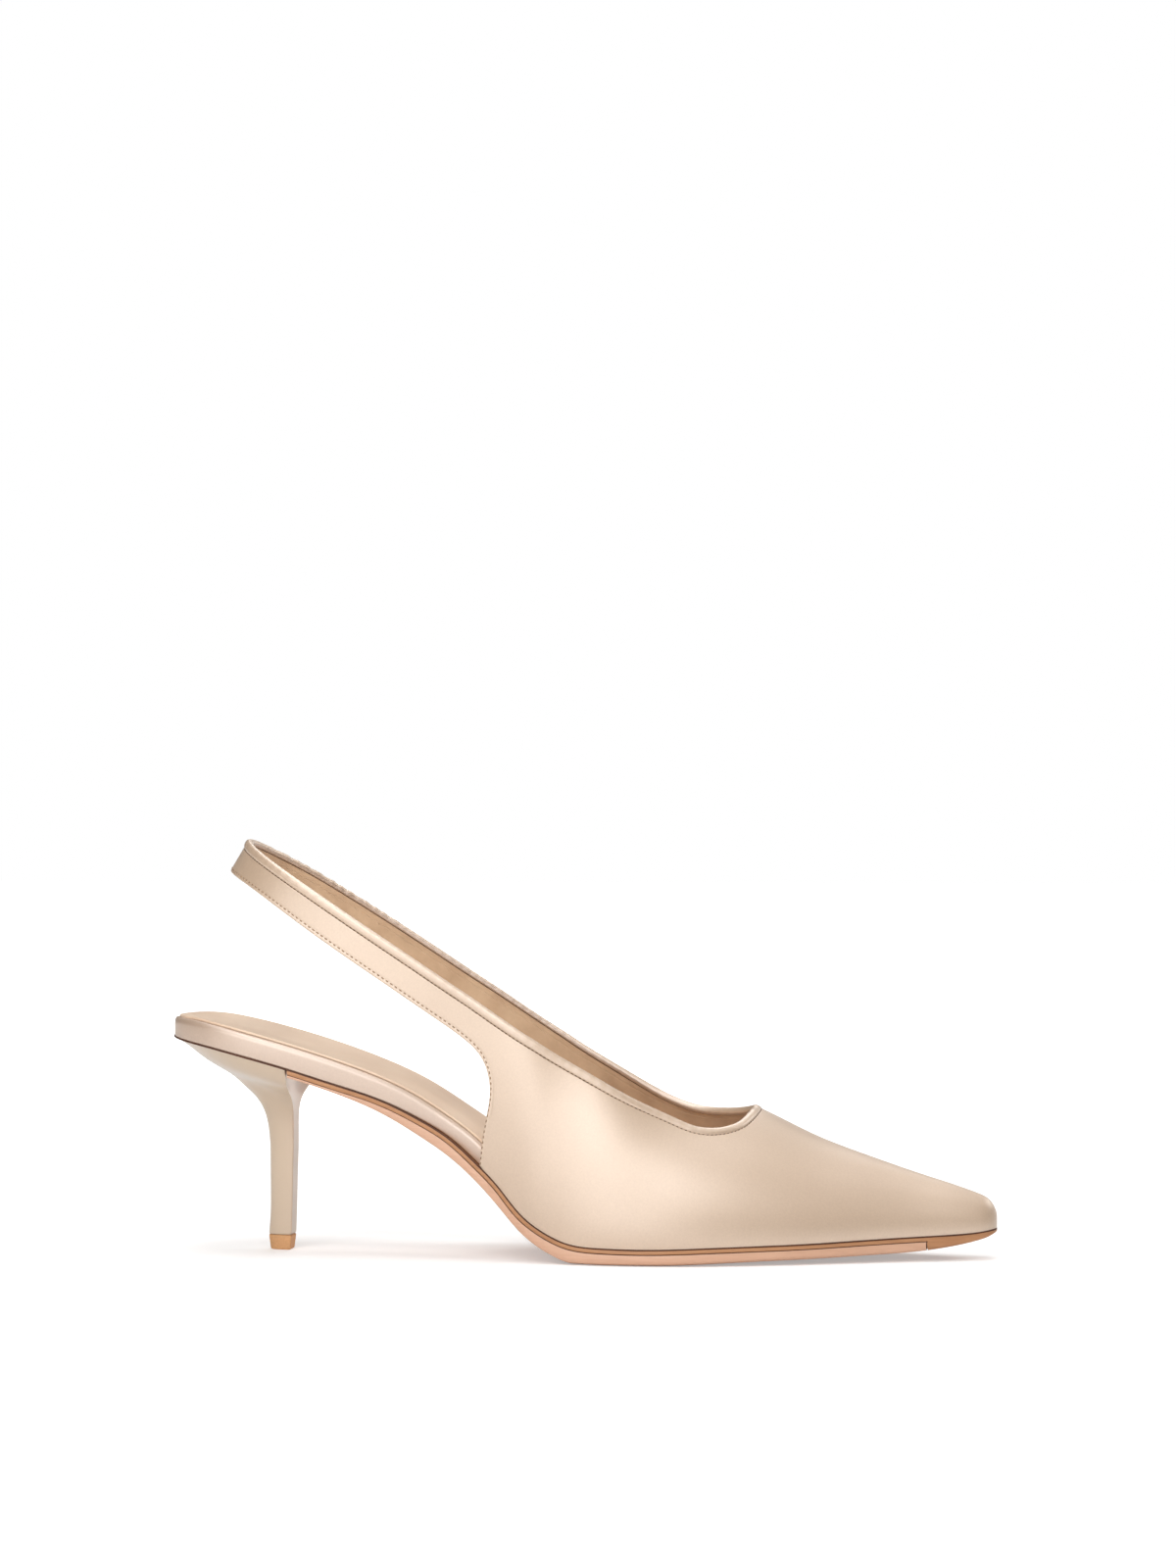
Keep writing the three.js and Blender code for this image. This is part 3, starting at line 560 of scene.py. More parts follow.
SATIN = satin_look("satin", (221, 192, 163), (209, 179, 150))
BAND_SATIN = satin_look("band_satin", (211, 182, 158), (199, 169, 145))
LINING = lining_look()
# A darker copy of the satin: painted shade for the binding's inner side.
SHADE_SHEET_SATIN = satin_look("shade_sheet_satin", (184, 150, 121), (168, 134, 106))
# Dark brown for the cords where layers meet: partly the joint's own dark edge, partly painted
# shade in the gap.
DARK_JOINT_AND_SHADE = edge_leather_look("dark_joint_and_shade", (96, 52, 28), (66, 36, 20), (0.6, 0.75))
SOCK = sock_look()
TAN = edge_leather_look("tan_leather", (206, 152, 108), (178, 124, 84))
SOLE = edge_leather_look("sole_leather", (229, 184, 155), (215, 168, 139), (0.35, 0.5))
LACQUER = lacquer_look()
RUBBER = grain_look("lift_rubber", 1800.0, (4.0, 0.7), (214, 158, 108), (230, 178, 128),
                    (0.3, 0.7), (0.55, 0.75), (0.0001, 0.5))
THREAD = thread_look("thread", (168, 136, 104), (132, 102, 76))
SEAM_THREAD = thread_look("seam_thread", (120, 86, 60), (86, 60, 42))


# The upper
def ridge_side(x):
    return RIDGE_OFFSET * smoothstep(0, RIDGE_OFFSET_REACH, HALF_LENGTH - x)


def last_half(x, z, side):
    ridge_power, foot_power = SHAPE[side]
    foot = feather(x)
    above = np.maximum(0, z - foot)
    share = np.clip(above / (ridge_height(x) - foot), 0, 1)
    half = foot_half(x, side)
    tuck = TUCK * (half / (half + TUCK_HALF_WIDTH))
    offset = np.minimum(ridge_side(x), half) * side
    spread = (half + tuck - offset) * (1 - share ** foot_power) ** (1 / ridge_power)
    return spread + offset - tuck * np.exp(-above / TUCK_HEIGHT) + LEAN[side](x) * above


class Rib:
    """A line in the side view from the upper's lower edge to its top edge."""

    def __init__(self, side, low, top, half, section):
        self.side, self.low, self.top, self.half = side, low, top, half
        self.strap = float(smoothstep(STRAP_FRONT, STRAP_BACK, top[0]))
        self.section = section
        if section:
            x = low[0]
            foot = float(feather(x))
            share = np.clip((top[1] - foot) / (ridge_height(x) - foot), 0, 1)
            self.power = 2 / SHAPE[side][1]
            self.angle = float(np.arcsin(share ** (1 / self.power)))
            self.gather = float(smoothstep(HALF_LENGTH, HALF_LENGTH - TIP_REACH, x))

    def at(self, columns):
        rise = columns
        if self.section:
            turned = (np.sin(self.angle * columns) / math.sin(self.angle)) ** self.power
            rise = lerp(columns, turned, self.gather)
        x = lerp(self.low[0], self.top[0], rise)
        z = lerp(self.low[1], self.top[1], rise)
        last = last_half(x, z, self.side) if self.strap < 1 else 0
        y = self.side * lerp(last, self.half, self.strap)
        return np.stack([x, y + 0 * x, z], 1)


def strap_ribs(side, steps):
    beyond = RIBS[:-1][::-1] * np.array([1, 1, 1, 1, -1])
    rows = np.vstack([RIBS, beyond])
    along = arc_length(rows)
    curve = natural_spline(along, rows)
    ribs = []
    for place in np.linspace(0, along[len(RIBS) - 1], steps + 1):
        low_x, low_z, top_x, top_z, half = curve(place)
        ribs.append(Rib(side, (low_x, low_z), (top_x, top_z), half, False))
    ribs[-1].half = 0.0
    return ribs


VAMP_STATIONS = stations([(HALF_LENGTH, 112, 26), (112, THROAT_FRONT, 44)])
VAMP_STATIONS = np.insert(VAMP_STATIONS, -1, VAMP_STATIONS[-1] + np.array([0.5, 0.2]))
THROAT_REACH, THROAT_STEPS = 6.4, 14
THROAT_STATIONS = (THROAT_FRONT - THROAT_REACH
                   * (np.arange(1, THROAT_STEPS + 1) / THROAT_STEPS) ** 2)
SIDE_STATIONS = stations([(THROAT_FRONT - THROAT_REACH, WAIST_FRONT, 24)])[1:]
QUARTER_STATIONS = stations([(WAIST_FRONT, QUARTER_BACK, 26)])[1:-1]
STRAP_STEPS = 110


def upper_ribs(side):
    def behind_throat(x):
        return np.sqrt(np.maximum(0, THROAT_FRONT - np.asarray(x, float)))

    top = column_curve(TOPLINE, 1 if side < 0 else 2, behind_throat)
    half = RIBS[0, 4]
    ribs = []
    for x in VAMP_STATIONS:
        ribs.append(Rib(side, (x, feather(x)), (x, ridge_height(x)), half, True))
    for x in np.concatenate([THROAT_STATIONS, SIDE_STATIONS]):
        ribs.append(Rib(side, (x, feather(x)), (x, top(x)), half, True))
    for x in QUARTER_STATIONS:
        share = (WAIST_FRONT - x) / (WAIST_FRONT - QUARTER_BACK)
        top_x = lerp(WAIST_FRONT, RIBS[0, 2], share)
        ribs.append(Rib(side, (x, feather(x)), (top_x, top(top_x)), half, True))
    return ribs + strap_ribs(side, STRAP_STEPS)


# Places up a rib: these many millimetres from its lower and from its top edge, and
# even steps between them. On a short rib they close up.
LOW_PLACES = np.array([0, 0.1, 0.22, 0.38, 0.6, 0.85, 1.1, 1.35, 1.7, 2.3])
TOP_PLACES = np.array([3.7, 3.25, 3.0, 2.75, 2.2, 1.5, 0.9, 0.5, 0.25, 0.1, 0])
RIDGE_PLACES = np.array([7.4, 6.6, 5.8, 5.0, 4.2, 3.5, 2.8, 2.1, 1.5, 0.8, 0])
MIDDLE_PLACES = 24
SHORT_RIB, SHORT_RIDGE_RIB = 7.0, 12.0
RIB_SAMPLES = 261


def rib_points(rib, ridge=0.0):
    """Points up a rib; where ridge is 1 they are spread for a soft crest."""
    dense = np.linspace(0, 1, RIB_SAMPLES)
    arc = arc_length(rib.at(dense))
    length = arc[-1]
    scale = min(1.0, length / lerp(SHORT_RIB, SHORT_RIDGE_RIB, ridge))
    low = LOW_PLACES * scale
    top = length - lerp(TOP_PLACES, RIDGE_PLACES, ridge) * scale
    middle = np.linspace(low[-1], top[0], MIDDLE_PLACES + 2)[1:-1]
    places = np.concatenate([low, middle, top])
    return rib.at(np.interp(places, arc, dense)), places


FIRST_STRAP_RIB = sum(map(len, (VAMP_STATIONS, THROAT_STATIONS, SIDE_STATIONS,
                                QUARTER_STATIONS)))
THROAT_RIB = len(VAMP_STATIONS) - 1
CREST_RIBS = 4

# The weave's pattern is laid out in centimetres of cloth.
CLOTH_UNIT = 10


class Sheet:
    """The upper's outer surface as one welded sheet, with distances from its edges."""

    def __init__(self):
        blocks, faces, alongs, downs, start = [], [], [], [], 0
        self.edges = {}
        for side in (-1, 1):
            pairs = [rib_points(rib, smoothstep(THROAT_RIB - 1, THROAT_RIB - 1 - CREST_RIBS, i))
                     for i, rib in enumerate(upper_ribs(side))]
            grid = np.array([points for points, _ in pairs])
            places = np.array([place for _, place in pairs])
            self.edges[side] = (grid[:, 0], grid[:, -1])
            rows, columns = grid.shape[:2]
            alongs.append(np.repeat(arc_length(grid[:, columns // 2]), columns))
            downs.append((places - places[:, -1:]).ravel())
            blocks.append(grid.reshape(-1, 3))
            faces += grid_faces(rows, columns, start, flip=side > 0)
            start += rows * columns
        points = np.vstack(blocks)
        self.points, self.faces, kept = weld(points, faces)
        # Both halves share one measure along the shoe, so that the weave meets at the ridge.
        self.uv = np.stack([np.tile((alongs[0] + alongs[1]) / 2, 2), np.concatenate(downs)], 1)
        self.uv = self.uv[kept] / CLOTH_UNIT
        self.normals = vertex_normals(self.points, self.faces)
        top_path = np.vstack([self.edges[s][1][THROAT_RIB:] for s in (-1, 1)])
        low_path = np.vstack([self.edges[s][0][FIRST_STRAP_RIB:] for s in (-1, 1)])
        self.from_top = nearest(self.points, top_path)
        self.from_low = nearest(self.points, low_path)
        self.level_foot()

    def level_foot(self):
        """Along the feather line the wall's lower edge lies flat."""
        foot = np.vstack([self.edges[s][0][:FIRST_STRAP_RIB + 1] for s in (-1, 1)])
        near = nearest(self.points, foot) < 1e-3
        self.normals[near, 2] = 0
        self.normals[near] = unit(self.normals[near])


SHEET = Sheet()


def rounding(distance, radius):
    """How far a surface sinks towards a rounded edge."""
    inside = np.clip(radius - distance, 0, radius)
    return radius - np.sqrt(np.maximum(0, radius ** 2 - inside ** 2))


GATHER_FRONT, GATHER_BACK, GATHER_SIDE = (-60, -66), (-104, -97), (6, 12)


def gathers(points):
    """Fine puckers across the strap's inner rear half, where it is elastic."""
    x, y = points[:, 0], points[:, 1]
    reach = (smoothstep(*GATHER_FRONT, x) * smoothstep(*GATHER_BACK, x)
             * smoothstep(*GATHER_SIDE, y))
    phase = x * 2.1 + 1.3 * np.sin(x * 0.55) + 0.35 * points[:, 2]
    return reach * (0.09 * np.sin(phase) + 0.04 * np.sin(2.3 * phase + 1.0))


def shell(outer, inner, keep=None):
    """A closed shell from an outer and an inner copy of the sheet."""
    faces = SHEET.faces
    if keep is not None:
        faces = [face for face in faces if all(keep[i] for i in face)]
    count = len(outer)
    result = list(faces)
    result += [tuple(i + count for i in reversed(face)) for face in faces]
    edges = {}
    for face in faces:
        for a, b in zip(face, face[1:] + face[:1]):
            if edges.pop((b, a), None) is None:
                edges[(a, b)] = True
    result += [(b, a, a + count, b + count) for a, b in edges]
    points = np.vstack([outer, inner])
    used = np.unique(np.concatenate([np.array(face) for face in result]))
    remap = np.full(len(points), -1)
    remap[used] = np.arange(len(used))
    return points[used], [tuple(int(remap[i]) for i in face) for face in result], used


# Depths, heights and distances from the edges, in millimetres.
LINING_TOP, LINING_LOW = 0.3, 0.3
SATIN_FADE, SATIN_FADE_LOW = (LINING_TOP + 0.05, LINING_TOP + 0.35), (0.5, 0.8)
LINING_FADE, LINING_FADE_LOW = (LINING_TOP - 0.1, LINING_TOP + 0.2), (0.35, 0.75)
EDGE_ROUND, TOP_ROUND = 0.45, 0.12
STITCH_INSET, STITCH_TROUGH, TROUGH_WIDTH = 1.1, 0.09, 0.22
SATIN_DEPTH, LINING_BACK, LINING_DEPTH = 0.75, 0.72, 0.92
FUZZ = 0.05
# Edges at least this sharp, in degrees, are shaded as creases.
UPPER_CREASE, SOLE_CREASE = 60, 50


def build_upper():
    points, normals = SHEET.points, SHEET.normals
    top, low = SHEET.from_top, SHEET.from_low
    ripple = gathers(points)
    trough = STITCH_TROUGH * np.exp(-((low - STITCH_INSET) / TROUGH_WIDTH) ** 2)
    edge = np.maximum(rounding(low, EDGE_ROUND), rounding(top, TOP_ROUND))
    outer = points + normals * (ripple - trough - edge)[:, None]
    lined = smoothstep(*SATIN_FADE, top) * smoothstep(*SATIN_FADE_LOW, low)
    inner = points + normals * (ripple - (WALL - edge - SATIN_DEPTH * lined))[:, None]
    body, faces, used = shell(outer, inner)
    uv = np.vstack([SHEET.uv, SHEET.uv])[used]
    add_piece("satin_upper", body, faces, SATIN, "upper", sharp=UPPER_CREASE, uv=uv)

    full = smoothstep(*LINING_FADE, top) * smoothstep(*LINING_FADE_LOW, low)
    fuzz = FUZZ * np.sin(points[:, 0] * 0.9) * np.cos(points[:, 2] * 0.7)
    back = points + normals * (ripple - LINING_BACK)[:, None]
    front = points + normals * (ripple - (SATIN_DEPTH + LINING_DEPTH * full)
                                + fuzz * lined)[:, None]
    body, faces, _ = shell(back, front, keep=(top > LINING_TOP / 2) & (low > LINING_LOW))
    add_piece("suede_lining", body, faces, LINING, None)


build_upper()


# The binding
def resample(path, step, closed=True):
    """Even steps along a path."""
    ring = np.vstack([path, path[:1]]) if closed else path
    arc = arc_length(ring)
    count = int(round(arc[-1] / step))
    places = np.linspace(0, arc[-1], count + 1)
    if closed:
        places = places[:-1]
    return along_path(places, arc, ring), places


RING_STEP = 0.6


def top_ring():
    """The closed top edge with the sheet's normals, in even steps."""
    outer = SHEET.edges[-1][1][THROAT_RIB:]
    inner = SHEET.edges[1][1][THROAT_RIB + 1:-1][::-1]
    path = np.vstack([outer, inner])
    keys = {tuple(np.round(p, 3)): i for i, p in enumerate(SHEET.points)}
    normals = np.array([SHEET.normals[keys[tuple(np.round(p, 3))]] for p in path])
    both, places = resample(np.hstack([path, normals]), RING_STEP)
    return both[:, :3], unit(both[:, 3:]), places


def smooth_ring(values, rounds):
    for _ in range(rounds):
        values = (np.roll(values, 1, 0) + 2 * values + np.roll(values, -1, 0)) / 4
    return values


CORD_SIDES = 8
CORD_TURNS = 2 * math.pi * np.arange(CORD_SIDES) / CORD_SIDES


def tube(path, radius):
    """A thin round cord along an open path."""
    along = unit(np.gradient(path, axis=0))
    out = unit(np.cross(along, np.array([0.0, 0.0, 1.0])))
    ring = (np.cos(CORD_TURNS)[None, :, None] * out[:, None]
            + np.sin(CORD_TURNS)[None, :, None] * np.cross(out, along)[:, None])
    points = (path[:, None] + radius * ring).reshape(-1, 3)
    return points, tube_faces(len(path))


def tube_faces(rows, base=0):
    """A cord's sides and its two flat ends."""
    end = base + (rows - 1) * CORD_SIDES
    return grid_faces(rows, CORD_SIDES, base, wrap_columns=True) + [
        tuple(range(base, base + CORD_SIDES))[::-1], tuple(range(end, end + CORD_SIDES))]


def sweep(direction, offsets):
    """Offsets across a section, carried along every step of a path."""
    return direction[:, None] * offsets[None, :, None]


GATHERED_ROLL, GATHERED_SWELL, SWELL = 0.8, 0.8, 0.6
ROLL_LOW, ROLL_SIDES, ROLL_SQUARENESS, ROLL_FOLD = 0.06, 20, 0.8, 0.97
# Arc, shares and cloth length of the thin sheet of painted shade over the binding's inner side
SHADE_SHEET_ARC, SHADE_SHEET_SHARES, SHADE_SHEET_CLOTH = (146, 181, 6), (1.035, 0.8), 4.0
RIM_DEPTHS = np.array([1.7, 1.72, 1.72, 1.7, 1.55, 0.9, 0.9])
RIM_RISES = np.array([1.85, 1.2, 0.4, -0.3, -0.9, -0.9, 1.85])
LINING_SEAM_DEPTH, LINING_SEAM_RISE, LINING_SEAM_RADIUS = 1.73, 1.2, 0.13


def squared(wave):
    """One side of a round section, made squarer."""
    return np.sign(wave) * np.abs(wave) ** ROLL_SQUARENESS


def build_binding():
    path, out, places = top_ring()
    along = smooth_ring(unit(np.roll(path, -1, 0) - np.roll(path, 1, 0)), 2)
    up = unit(np.cross(along, smooth_ring(out, 2)))
    out = unit(np.cross(up, along))
    gathered = gathers(path)
    # Small uneven puckers all along the roll
    pucker = 0.05 * np.sin(places * 1.9 + 1.5 * np.sin(places * 0.23))
    pucker += 0.03 * np.sin(places * 4.7 + 0.6)
    height = BINDING_HEIGHT + GAP - ROLL_LOW
    centre = path - out * (WALL / 2) + up * (ROLL_LOW + height / 2)
    swell = 1 + (pucker + gathered * GATHERED_SWELL)[:, None] * SWELL
    # Where the strap is elastic, the roll's top rises and falls with the gathers.
    tall = 1 + GATHERED_ROLL * gathered[:, None]

    def section(across, rise):
        raised = np.where(rise > 0, rise * tall, rise)
        return (centre[:, None] + out[:, None] * (across * swell)[..., None]
                + up[:, None] * raised[..., None])

    def add_roll(name, points, material, stands_for, cloth=None):
        steps, count = points.shape[:2]
        faces = grid_faces(steps, count, wrap_rows=True, wrap_columns=True)
        uv = None
        if cloth is not None:
            uv = np.stack([np.repeat(places, count), np.tile(cloth, steps)], 1) / CLOTH_UNIT
        around = places[-1] * len(places) / (len(places) - 1) / CLOTH_UNIT
        add_piece(name, points.reshape(-1, 3), faces, material, stands_for, uv=uv,
                  period=around)

    turns = 2 * math.pi * (np.arange(ROLL_SIDES) + 0.5) / ROLL_SIDES
    across = squared(np.cos(turns)) * BINDING_WIDTH / 2
    rise = squared(np.sin(turns)) * height / 2
    # The side toward the foot is folded under half way down, over the lining.
    folded = 1 - ROLL_FOLD * smoothstep(0.2, -0.6, np.cos(turns))
    rise = np.where(rise < 0, rise * folded, rise)
    add_roll("satin_binding", section(across, rise), SATIN, "topline_binding",
             turns * BINDING_WIDTH / 2)

    # A thin sheet of darker satin over the binding's inner side: painted shade, where that side
    # lies in shadow.
    fold = np.radians(np.linspace(*SHADE_SHEET_ARC))
    turns = np.concatenate([fold, fold[::-1]])
    share = np.repeat(SHADE_SHEET_SHARES, len(fold))
    across = share * squared(np.cos(turns)) * BINDING_WIDTH / 2
    rise = share * squared(np.sin(turns)) * height / 2
    add_roll("binding_shade_sheet", section(across, rise), SHADE_SHEET_SATIN, None,
             np.linspace(0, SHADE_SHEET_CLOTH, len(turns)))

    rim = path[:, None] - sweep(out, RIM_DEPTHS) + sweep(up, RIM_RISES)
    add_roll("lining_rim", rim, LINING, None)

    seam = path - out * LINING_SEAM_DEPTH + up * LINING_SEAM_RISE
    points, faces = tube(np.vstack([seam, seam[:1]]), LINING_SEAM_RADIUS)
    add_piece("lining_seam", points, faces, SEAM_THREAD, None)
    return path, out, up


BINDING = build_binding()


# The bottom
def loft(rings):
    """Points and faces of a closed body from rings of equal count."""
    rows, columns = len(rings), len(rings[0])
    points = np.vstack(rings)
    faces = grid_faces(rows, columns, wrap_columns=True)
    for row, forward in ((0, False), (rows - 1, True)):
        base = row * columns
        half = columns // 2
        for k in range(half - 1):
            quad = (base + k, base + k + 1, base + columns - 2 - k, base + columns - 1 - k)
            faces.append(quad if forward else quad[::-1])
    points, faces, _ = weld(points, faces)
    return points, faces


def across_ring(top, bottom):
    return np.vstack([top, bottom[::-1]])


# Shares of the half width, close together at the edges so that they can be rounded.
EDGE_SHARES = 1 - np.array([0, 0.004, 0.01, 0.018, 0.03, 0.06, 0.12, 0.2])
ACROSS = np.concatenate([-EDGE_SHARES, np.linspace(-0.7, 0.7, 15), EDGE_SHARES[::-1]])


ROUND_SHARE = 0.45


def breast_shift(x, share):
    fade = smoothstep(HEEL_BREAST + BREAST_FADE, HEEL_BREAST, x)
    return -BREAST_HOLLOW * (1 - share * share) * fade


def sole_bottom(x, share):
    flat = np.clip(flat_share(x), 0, FLATTEST)
    outside = np.maximum(0, (np.abs(share) - flat) / (1 - flat))
    room = np.maximum(0, below_feather(x, GAP) - lowest(x))
    return lowest(x) + np.minimum(edge_rise(x), STEEPEST * room) * outside * outside


def sole_ring(x, top_height, bottom_height, round_top, round_bottom):
    share = ACROSS
    place = x + breast_shift(x, share)
    half = foot_half(np.full_like(share, x), share)
    y = share * half
    from_edge = half - np.abs(y)
    top, bottom = top_height(place, share), bottom_height(place, share)
    room = np.maximum(0, top - bottom) * ROUND_SHARE
    top = top - rounding(from_edge, np.minimum(round_top, room))
    bottom = bottom + rounding(from_edge, np.minimum(round_bottom, room))
    return across_ring(np.stack([place, y, top], 1), np.stack([place, y, bottom], 1))


def midsole_top(x, share=0):
    return below_feather(x, GAP * 0.5)


def strip_height(x, share=0):
    return below_feather(x, GAP + STRIP_THICKNESS)


def outsole_top(x, share=0):
    return below_feather(x, 1.5 * GAP + STRIP_THICKNESS)


SOLE_BACK = HEEL_BREAST + 2 * GAP
SOLE_BREAKS = [(WAIST_FRONT, QUARTER_BACK, 40), (QUARTER_BACK, SOLE_BACK, 44)]


STRIP_ROUND, TOE_ROUND, JOINT_ROUND, SOLE_TOP_ROUND, SOLE_ROUND = 0.25, 0.35, 0.12, 0.15, 0.4


def build_soles():
    rings = []
    breaks = [(HALF_LENGTH, TOE_CAP_BACK, 40), (TOE_CAP_BACK, WAIST_FRONT, 60)] + SOLE_BREAKS
    for x in stations(breaks):
        if x >= TOE_CAP_BACK:
            rings.append(sole_ring(x, midsole_top, sole_bottom, STRIP_ROUND, TOE_ROUND))
        if x <= TOE_CAP_BACK:
            place = min(x, TOE_CAP_BACK - GAP)
            rings.append(sole_ring(place, midsole_top, strip_height, STRIP_ROUND, JOINT_ROUND))
    points, faces = loft(rings)
    add_piece("midsole_strip", points, faces, TAN, "midsole", sharp=SOLE_CREASE)
    rings = []
    for x in stations([(TOE_CAP_BACK - 1.5 * GAP, WAIST_FRONT, 60)] + SOLE_BREAKS):
        rings.append(sole_ring(x, outsole_top, sole_bottom, SOLE_TOP_ROUND, SOLE_ROUND))
    points, faces = loft(rings)
    add_piece("leather_outsole", points, faces, SOLE, "outsole",
              sharp=SOLE_CREASE)


build_soles()


OUTLINE_POINTS, JOINT_STEP, JOINT_INSET = 320, 0.5, 0.1
UPPER_JOINT_RADIUS, SOLE_JOINT_RADIUS = 0.27, 0.14
JOINT_END = HALF_LENGTH - 0.3


def outline_path(height, back, front):
    """The foot's outline from the back to the front on both sides, at a set height."""
    half = 0.5 * (front - back)
    places = back + half * (1 - np.cos(np.linspace(0, math.pi, OUTLINE_POINTS)))
    sides = []
    for side in (-1, 1):
        behind = lerp(BAND_INSET, 0, smoothstep(BAND_FRONT, QUARTER_BACK - WALL, places))
        width = np.maximum(0, foot_half(places, side) - JOINT_INSET - behind)
        sides.append(np.stack([places, side * width, height(places)], 1))
    return sides


def add_joint(name, paths, radius):
    """Dark cords where two layers meet: partly their dark joint, partly painted shade in the
    gap.
    """
    points, faces = [], []
    for path in paths:
        steps, _ = resample(path, JOINT_STEP, closed=False)
        base = sum(map(len, points))
        cord, cover = tube(steps, radius)
        faces += [tuple(i + base for i in face) for face in cover]
        points.append(cord)
    add_piece(name, np.vstack(points), faces, DARK_JOINT_AND_SHADE, None)


def build_joint_lines():
    left, right = outline_path(midsole_top, -JOINT_END, JOINT_END)
    around = np.vstack([left[::-1], right, left[-1:]])
    add_joint("upper_joint", [around], UPPER_JOINT_RADIUS)
    halves = outline_path(lambda x: below_feather(x, 1.25 * GAP + STRIP_THICKNESS),
                          SOLE_BACK, TOE_CAP_BACK)
    add_joint("sole_joint", halves, SOLE_JOINT_RADIUS)


build_joint_lines()


def board_half(x, side):
    inside = smoothstep(BAND_FRONT, QUARTER_BACK - WALL, x)
    inset = lerp(BAND_INSET, WALL + BOARD_CLEARANCE, inside)
    near = np.minimum(x, HALF_LENGTH - 1)
    steep = np.where(inside > 0, slope_factor(lambda at: foot_half(at, side), near), 1)
    return np.maximum(0, foot_half(x, side) - inset * steep)


DISH_FRONT, DISH_BACK = (-40, -85), (-122, -108)


def dish(x, share):
    depth = DISH_DEPTH * smoothstep(*DISH_FRONT, x) * smoothstep(*DISH_BACK, x)
    return depth * (1 - share * share)


# The cushion rises this far to meet the sock, which the solids keep clear of it.
SOCK_BED = 0.25


def board_top(x, share):
    return rim_height(x) - SOCK_THICKNESS - GAP - dish(x, share)


BOARD_STATIONS = stations([(BOARD_FRONT, WAIST_FRONT, 50), (WAIST_FRONT, QUARTER_BACK, 30),
                           (QUARTER_BACK, -100, 50), (-100, -HALF_LENGTH, 60)])
BOARD_EDGE_STEPS, BOARD_UNDER_STEPS = 9, 5
UNDER_ROUND, UNDER_SHARE, BOARD_SEAT = 0.5, 0.25, 0.05
BACK_TURN = 6


def build_board():
    rings = []
    turns = np.radians(np.linspace(0, 90, BOARD_EDGE_STEPS))
    under = np.radians(np.linspace(90, 0, BOARD_UNDER_STEPS))
    for x in BOARD_STATIONS:
        depth = float(board_top(x, 1) - feather(x))
        halves = {s: float(board_half(x, s)) for s in (-1, 1)}
        room = ROUNDING_ROOM * min(depth, halves[-1], halves[1])
        big, small = min(BAND_ROUNDING, room), min(UNDER_ROUND, room * UNDER_SHARE)
        foot = feather(x) + BOARD_SEAT

        def edge(side):
            y = side * (halves[side] - big * (1 - np.cos(turns)))
            z = board_top(x, 1) - big * (1 - np.sin(turns))
            y2 = side * (halves[side] - small * (1 - np.cos(under)))
            return y, z, y2[::-1], (foot + small * (1 - np.sin(under)))[::-1]

        left, right = edge(-1), edge(1)
        shares = np.linspace(-0.98, 0.98, 29)
        y = shares * np.where(shares < 0, halves[-1] - big, halves[1] - big)
        z = board_top(x, shares) + SOCK_BED * smoothstep(1.0, 0.93, np.abs(shares))
        top_y = np.concatenate([left[0], y, right[0][::-1]])
        top_z = np.concatenate([left[1], z, right[1][::-1]])
        between = len(top_y) - 2 * len(under)
        flat = np.linspace(left[2][-1], right[2][-1], between + 2)[1:-1]
        low_y = np.concatenate([left[2], flat, right[2][::-1]])
        low_z = np.concatenate([left[3], np.full(between, foot), right[3][::-1]])
        place = np.full(len(top_y), x)
        rings.append(across_ring(np.stack([place, top_y, top_z], 1),
                                 np.stack([place, low_y, low_z], 1)))
    points, faces = loft(rings)
    # The weave turns softly round the middle of the back.
    uv = np.stack([points[:, 0], points[:, 2] + np.hypot(points[:, 1], BACK_TURN)], 1)
    add_piece("satin_band", points, faces, BAND_SATIN, "insole_board",
              uv=uv / CLOTH_UNIT)


build_board()


SOCK_SHARES = np.concatenate([-EDGE_SHARES, np.linspace(-0.75, 0.75, 17), EDGE_SHARES[::-1]])
SOCK_ROUND = 0.5


def build_sock():
    rings, shares = [], SOCK_SHARES
    for x in BOARD_STATIONS[BOARD_STATIONS < SOCK_FRONT]:
        place = x * SOCK_LENGTH_SHARE if x < 0 else x
        half = np.array([float(board_half(x, s)) for s in (-1, 1)])
        half = np.where(shares < 0, half[0], half[1]) * SOCK_WIDTH_SHARE
        y = shares * half
        low = board_top(place, shares) + SOCK_BED * 0.4
        edge = rounding(half - np.abs(y), np.minimum(SOCK_ROUND, half * 0.5))
        top = board_top(place, shares) + GAP + SOCK_THICKNESS - edge
        rings.append(across_ring(np.stack([np.full(len(y), place), y, top], 1),
                                 np.stack([np.full(len(y), place), y, low], 1)))
    points, faces = loft(rings)
    add_piece("leather_sock", points, faces, SOCK, "sock_lining")


build_sock()


# The heel
BREAST_STEPS, BACK_STEPS = 14, 46


def half_ring(breast_point, back_point):
    rows = [breast_point(k / BREAST_STEPS) for k in range(BREAST_STEPS + 1)]
    rows += [back_point(k / BACK_STEPS) for k in range(1, BACK_STEPS + 1)]
    return np.array(rows, float)


def seat_points(side):
    corner = side * float(foot_half(HEEL_BREAST, side))
    start = float(angle_of(HEEL_BREAST))

    def breast(share):
        x = HEEL_BREAST - BREAST_HOLLOW * (1 - share * share)
        return x, corner * share, float(midsole_top(x))

    def back(share):
        x = HALF_LENGTH * math.cos(lerp(start, math.pi, share))
        return x, side * float(foot_half(x, side)), float(midsole_top(x))

    return half_ring(breast, back)


